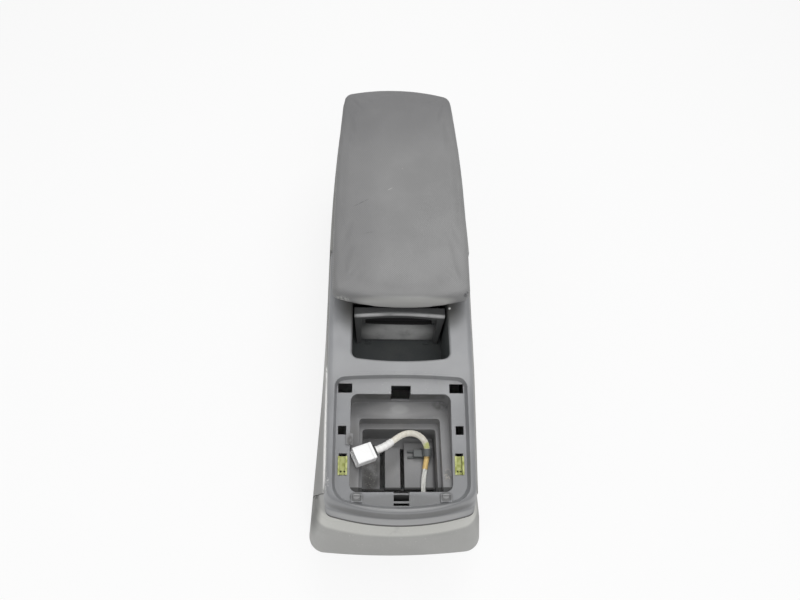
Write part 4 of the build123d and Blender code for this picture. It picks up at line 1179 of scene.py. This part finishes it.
    def build(self) -> None:
        """Lay the wires, the braid and the tape."""
        self.cord = self.line("harness_cord", self.diameter)
        wires = self.strands("harness_wires", self.wires)
        sleeve = self.strands("harness_sleeve", self.braid)
        tape = self.band("harness_tape", self.tape_reach, self.tape_radius, self.tape_step)
        wrap = self.band("plug_wrap", self.wrap_reach, self.wrap_radius, self.wrap_step)
        self.extras = ((wires, self.jacket), (sleeve, self.sleeve), (tape, self.tape), (wrap, self.wrap))
        pieces = [piece for piece, _ in self.extras]
        for piece in [self.cord, *pieces]:
            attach(piece, "console")
        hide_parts("harness_cable")

    def dress(self) -> None:
        """Dress the wires and what is on them."""
        self.cord.data.materials.append(self.jacket.make())
        for piece, finish in self.extras:
            piece.data.materials.clear()
            piece.data.materials.append(finish.make())
        last, end = (MM * Vector(self.route[index]) for index in (-2, -1))
        coat(("harness_connector",), self.plug.make(tuple(end), tuple((end - last).normalized())))
        coat(("harness_retainer",), self.clip.make())
        coat(("harness_grommet",), self.seal.make())


@dataclass
class ArmrestLid:
    """Padded lid with its inner plate and bumpers.

    Attributes:
        grey: Colour of the cover.
        merge: Distance within which corners of the solid's mesh are one.
        voxel: Size of the cushion's mesh cells before it is smoothed.
        slack: How far the cover is drawn in before it is filled.
        swell: How far the filling may push it out from the solid.
        held_below: Height over the underside up to which the cover is fixed.
        held_tilt: Upward part of a normal below which the cover is fixed.
        pressure: Pressure of the filling.
        frames: Steps of the filling.
        light: Colour of scrapes in the cover, and of a painted highlight along the lip's left edge.
        rubbed_and_painted_light: Colour of the cover along its lip, worn there and paler as painted light on
            the lit lip.
        dark: Colour of scratches and of the torn corner, and of the painted shade over the cover's left side
            and far end.
        plate: Finish of the inner plate.
        bumper: Finish of the bumpers.
    """

    grey: Colour = (0.227, 0.227, 0.227)
    merge: float = 0.01 * MM
    voxel: float = 2.8 * MM
    slack: float = 0.8 * MM
    swell: float = 1.2 * MM
    held_below: float = 7 * MM
    held_tilt: float = -0.3
    pressure: float = 4.0
    frames: int = 20
    light: Colour = (0.44, 0.44, 0.42)
    rubbed_and_painted_light: Colour = (0.53, 0.53, 0.51)
    dark: Colour = (0.10, 0.10, 0.105)
    plate: MouldedPlastic = MouldedPlastic("lid_plastic", (0.05, 0.05, 0.053), roughness=0.6)
    bumper: MattRubber = MattRubber("bumper_rubber", (0.02, 0.02, 0.02))

    def marks(self) -> tuple[Mark, ...]:
        """Marks on the cover: painted shade over its left side and far end, scratches, a painted highlight at
        the lip's left end, and its lip, paler from wear and painted light, with its torn corner.
        """
        return (
            # Painted shade: the cover darker towards its left side and its far end, where less light falls.
            Mark(
                MarkKind.SMEAR, (-0.070, 0.08, 0.222), (0.06, 0.26, 0.05), self.dark,
                strength=0.24, pitch=45 * MM, cover=0.9,
            ),
            Mark(
                MarkKind.SMEAR, (0.0, 0.30, 0.222), (0.16, 0.20, 0.05), self.dark,
                strength=0.42, pitch=45 * MM, cover=1.0,
            ),
            Mark(
                MarkKind.GRIT, (-0.0456, 0.0627, 0.226), (0.013, 0.9 * MM, 0.02), self.dark,
                strength=0.55, pitch=4 * MM, cover=0.6, turn_deg=31.0,
            ),
            Mark(
                MarkKind.GRIT, (-0.036, 0.020, 0.226), (0.007, 0.6 * MM, 0.02), self.dark,
                strength=0.5, pitch=3 * MM, cover=0.6, turn_deg=12.0,
            ),
            Mark(
                MarkKind.RUB, (-0.0123, 0.083, 0.227), (4.5 * MM, 0.8 * MM, 0.02), self.light,
                strength=0.5, pitch=4 * MM, cover=0.8, turn_deg=35.0,
            ),
            Mark(
                MarkKind.RUB, (0.0024, 0.115, 0.227), (2.2 * MM, 0.7 * MM, 0.02), self.light,
                strength=0.35, pitch=4 * MM, cover=0.8, turn_deg=50.0,
            ),
            # Paler band along the lip: wear, and painted light on the lip's lit face.
            Mark.even((0.010, -0.062, 0.208), (0.09, 8 * MM, 0.014), self.rubbed_and_painted_light, 0.62),
            # Painted highlight along the lip's left bottom edge.
            Mark(
                MarkKind.RUB, (-0.066, -0.056, 0.206), (0.014, 4 * MM, 6 * MM), self.light,
                strength=0.7, pitch=3 * MM, cover=0.6,
            ),
            Mark(
                MarkKind.GRIT, (0.0698, -0.0514, 0.212), (4 * MM, 2.2 * MM, 6 * MM), self.dark,
                strength=0.9, pitch=2 * MM, cover=0.62, turn_deg=40.0,
            ),
        )

    def cushion(self) -> bpy.types.Object:
        """Fill a copy of the pad's solid so that its cover swells.

        Returns:
            The cushion.
        """
        shape = bmesh.new()
        shape.from_mesh(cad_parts["lid_pad"].data)
        bmesh.ops.remove_doubles(shape, verts=shape.verts, dist=self.merge)
        mesh = bpy.data.meshes.new("lid_cushion")
        shape.to_mesh(mesh)
        shape.free()
        piece = linked("lid_cushion", mesh)
        remesh = piece.modifiers.new("cells", "REMESH")
        remesh.mode = "VOXEL"
        remesh.voxel_size = self.voxel
        piece = as_mesh(piece)
        piece = self.filled(piece)
        smooth = piece.modifiers.new("smooth", "SUBSURF")
        smooth.levels = smooth.render_levels = 1
        piece.data.shade_smooth()
        return piece

    def filled(self, piece: bpy.types.Object) -> bpy.types.Object:
        """Swell the cushion's cover with pressure, within limits.

        Args:
            piece: The cushion's mesh, which is used up.

        Returns:
            The swollen cushion.
        """
        start = [vertex.co.copy() for vertex in piece.data.vertices]
        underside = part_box("lid_pad")[0][2]
        held = piece.vertex_groups.new(name="held")
        for vertex in piece.data.vertices:
            low = 1.0 - (vertex.co.z - underside - self.held_below) / self.held_below
            weight = 1.0 if vertex.normal.z < self.held_tilt else min(max(low, 0.0), 1.0)
            held.add([vertex.index], weight, "REPLACE")
            vertex.co -= (1.0 - weight) * self.slack * vertex.normal
        cloth = piece.modifiers.new("cover", "CLOTH")
        cloth.settings.vertex_group_mass = "held"
        cloth.settings.use_pressure = True
        cloth.settings.uniform_pressure_force = self.pressure
        cloth.settings.effector_weights.gravity = 0.0
        for number in range(1, self.frames + 1):
            bpy.context.scene.frame_set(number)
        swollen = as_mesh(piece)
        bpy.context.scene.frame_set(1)
        for vertex, place in zip(swollen.data.vertices, start):
            move = vertex.co - place
            if move.length > self.swell:
                vertex.co = place + move.normalized() * self.swell
        return swollen

    def build(self) -> None:
        """Make the cushion."""
        self.cover = self.cushion()
        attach(self.cover, "lid")
        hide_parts("lid_pad")
        LOG.info("filled lid_cushion")

    def dress(self) -> None:
        """Dress the lid."""
        vinyl = GrainedVinyl("lid_cover", self.grey, marks=self.marks())
        self.cover.data.materials.clear()
        self.cover.data.materials.append(vinyl.make())
        coat(("lid_base",), self.plate.make())
        coat(("lid_bumpers",), self.bumper.make())


@dataclass
class RearHinge:
    """Pin hinge at the rear, and the bin in front of it.

    Attributes:
        steel: Finish of the hinge and its screws.
        bin: Finish of the bin.
    """

    steel: PlatedSteel = PlatedSteel("hinge_steel", (0.56, 0.56, 0.55), stain=(0.40, 0.40, 0.39))
    bin: MouldedPlastic = MouldedPlastic("bin_plastic", (0.035, 0.035, 0.037), roughness=0.62)

    def build(self) -> None:
        """The hinge and the bin have no pieces beyond the solids."""

    def dress(self) -> None:
        """Dress the hinge and the bin."""
        coat(("hinge_bracket", "hinge_leaf", "hinge_pin", "bracket_screws", "leaf_screws"), self.steel.make())
        coat(("storage_bin",), self.bin.make())


@dataclass(frozen=True)
class Lamp:
    """A square soft lamp.

    Attributes:
        name: Its name.
        place: Where it hangs.
        aim: What it points at.
        width: Its side.
        watts: Its power.
    """

    name: str
    place: Triple
    aim: Triple
    width: float
    watts: float

    def hang(self) -> None:
        """Put it into the scene."""
        data = bpy.data.lights.new(self.name, "AREA")
        data.size = self.width
        data.energy = self.watts
        lamp = linked(self.name, data)
        lamp.location = self.place
        lamp.rotation_mode = "QUATERNION"
        lamp.rotation_quaternion = (Vector(self.aim) - Vector(self.place)).to_track_quat("-Z", "Y")


@dataclass
class Studio:
    """Pale floor, soft light and the camera.

    Attributes:
        camera_place: Where the camera stands, in millimetres.
        pitch_deg: How far it looks down.
        azimuth_deg: How far it looks to the right of straight ahead.
        roll_deg: How far it is rolled.
        lens_mm: Its focal length.
        sensor_mm: Width of its sensor.
        floor_half: Half the floor's width.
        floor_grey: Colour of the floor where light shows it.
        floor_glow: How much of the floor's white doesn't depend on the light.
        shade_half: Half the width and length of the floor inside the console, which only light can show.
        shade_taper: How much narrower that half width gets for each metre rearwards.
        shade_edge: Width of the blurred edge at the sides and at the ends of it.
        ambient: Strength of the light from all round.
        lamps: The lamps.
    """

    camera_place: Triple = (-42.97, -431.93, 802.73)
    pitch_deg: float = 57.634
    azimuth_deg: float = 6.229
    roll_deg: float = -6.109
    lens_mm: float = 29.25
    sensor_mm: float = 36.0
    floor_half: float = 4.0
    floor_grey: Colour = (0.90, 0.90, 0.90)
    floor_glow: float = 0.80
    shade_half: tuple[float, float] = (0.0885, 0.262)
    shade_taper: float = 0.034
    shade_edge: tuple[float, float] = (2 * MM, 10 * MM)
    ambient: float = 0.42
    lamps: tuple[Lamp, ...] = (
        Lamp("key", (0.25, 0.2, 1.95), (0.0, 0.0, 0.1), width=1.3, watts=11.5),
        Lamp("back", (0.1, 0.9, 1.9), (0.0, 0.0, 0.1), width=0.6, watts=6.0),
        Lamp("front", (0.3, -1.1, 1.6), (0.0, -0.1, 0.1), width=0.8, watts=6.5),
        Lamp("side", (-1.0, -0.6, 1.2), (0.0, -0.1, 0.1), width=0.8, watts=2.5),
    )

    def camera(self) -> None:
        """Place the camera."""
        angles = (self.pitch_deg, self.azimuth_deg, self.roll_deg)
        pitch, azimuth, roll = (math.radians(angle) for angle in angles)
        run, drop = math.cos(pitch), math.sin(pitch)
        ahead = Vector((math.sin(azimuth) * run, math.cos(azimuth) * run, -drop))
        level = Vector((math.cos(azimuth), -math.sin(azimuth), 0.0))
        down = ahead.cross(level)
        right = math.cos(roll) * level + math.sin(roll) * down
        up = math.sin(roll) * level - math.cos(roll) * down
        data = bpy.data.cameras.new("camera")
        data.sensor_width = self.sensor_mm
        data.lens = self.lens_mm
        camera = linked("camera", data)
        turn = Matrix((right, up, -ahead)).transposed().to_4x4()
        camera.matrix_world = Matrix.Translation(MM * Vector(self.camera_place)) @ turn
        bpy.context.scene.camera = camera

    def seen(self, graph: Graph) -> Value:
        """1 for rays that show the background as it looks, 0 for those that light the object."""
        path = graph.node("ShaderNodeLightPath").outputs
        names = ("Is Camera Ray", "Is Glossy Ray", "Is Transmission Ray")
        direct, mirrored, passed = (Value(graph, path[name]) for name in names)
        return direct.most(mirrored).most(passed)

    def floor(self) -> None:
        """Lay the floor, which looks near white and keeps the object's shadow."""
        shape = bmesh.new()
        bmesh.ops.create_grid(shape, x_segments=1, y_segments=1, size=self.floor_half)
        mesh = bpy.data.meshes.new("floor")
        shape.to_mesh(mesh)
        shape.free()
        floor = linked("floor", mesh)
        graph = Graph(bpy.data.materials.new("floor_white"))
        matt = graph.node("ShaderNodeBsdfDiffuse", {}, {"Color": self.floor_grey})
        glow = graph.node("ShaderNodeEmission", {}, {"Color": (1.0, 1.0, 1.0), "Strength": 1.0})
        half_width, half_length = self.shade_half
        side_edge, end_edge = self.shade_edge
        reach = half_width - self.shade_taper * graph.axis("Y")
        below = (graph.axis("X").size() - reach).ease(side_edge, 0.0)
        below = below * graph.axis("Y").size().ease(half_length + end_edge, half_length)
        share = self.seen(graph) * self.floor_glow * (1.0 - below)
        mixed = graph.node("ShaderNodeMixShader", {}, {0: share, 1: matt.outputs[0], 2: glow.outputs[0]})
        graph.node("ShaderNodeOutputMaterial", {}, {"Surface": mixed.outputs[0]})
        mesh.materials.append(graph.owner)

    def sky(self) -> None:
        """Light the object from all round, with a white background."""
        graph = Graph(bpy.data.worlds.new("studio"))
        level = self.ambient + self.seen(graph) * (1.0 - self.ambient)
        light = graph.node("ShaderNodeBackground", {}, {"Color": (1.0, 1.0, 1.0), "Strength": level})
        graph.node("ShaderNodeOutputWorld", {}, {"Surface": light.outputs[0]})
        bpy.context.scene.world = graph.owner

    def build(self) -> None:
        """Set up the floor, the light and the camera."""
        bpy.context.scene.view_settings.view_transform = "Standard"
        self.floor()
        self.sky()
        for lamp in self.lamps:
            lamp.hang()
        self.camera()
        LOG.info("set up the studio")


def main() -> None:
    """Build and dress the console."""
    logging.basicConfig(level=logging.INFO, format="%(name)s: %(message)s")
    Studio().build()
    for assembly in (Harness(), Shell(), TrimRecess(), Pocket(), ArmrestLid(), RearHinge()):
        assembly.build()
        assembly.dress()


if __name__ == "__main__":
    main()
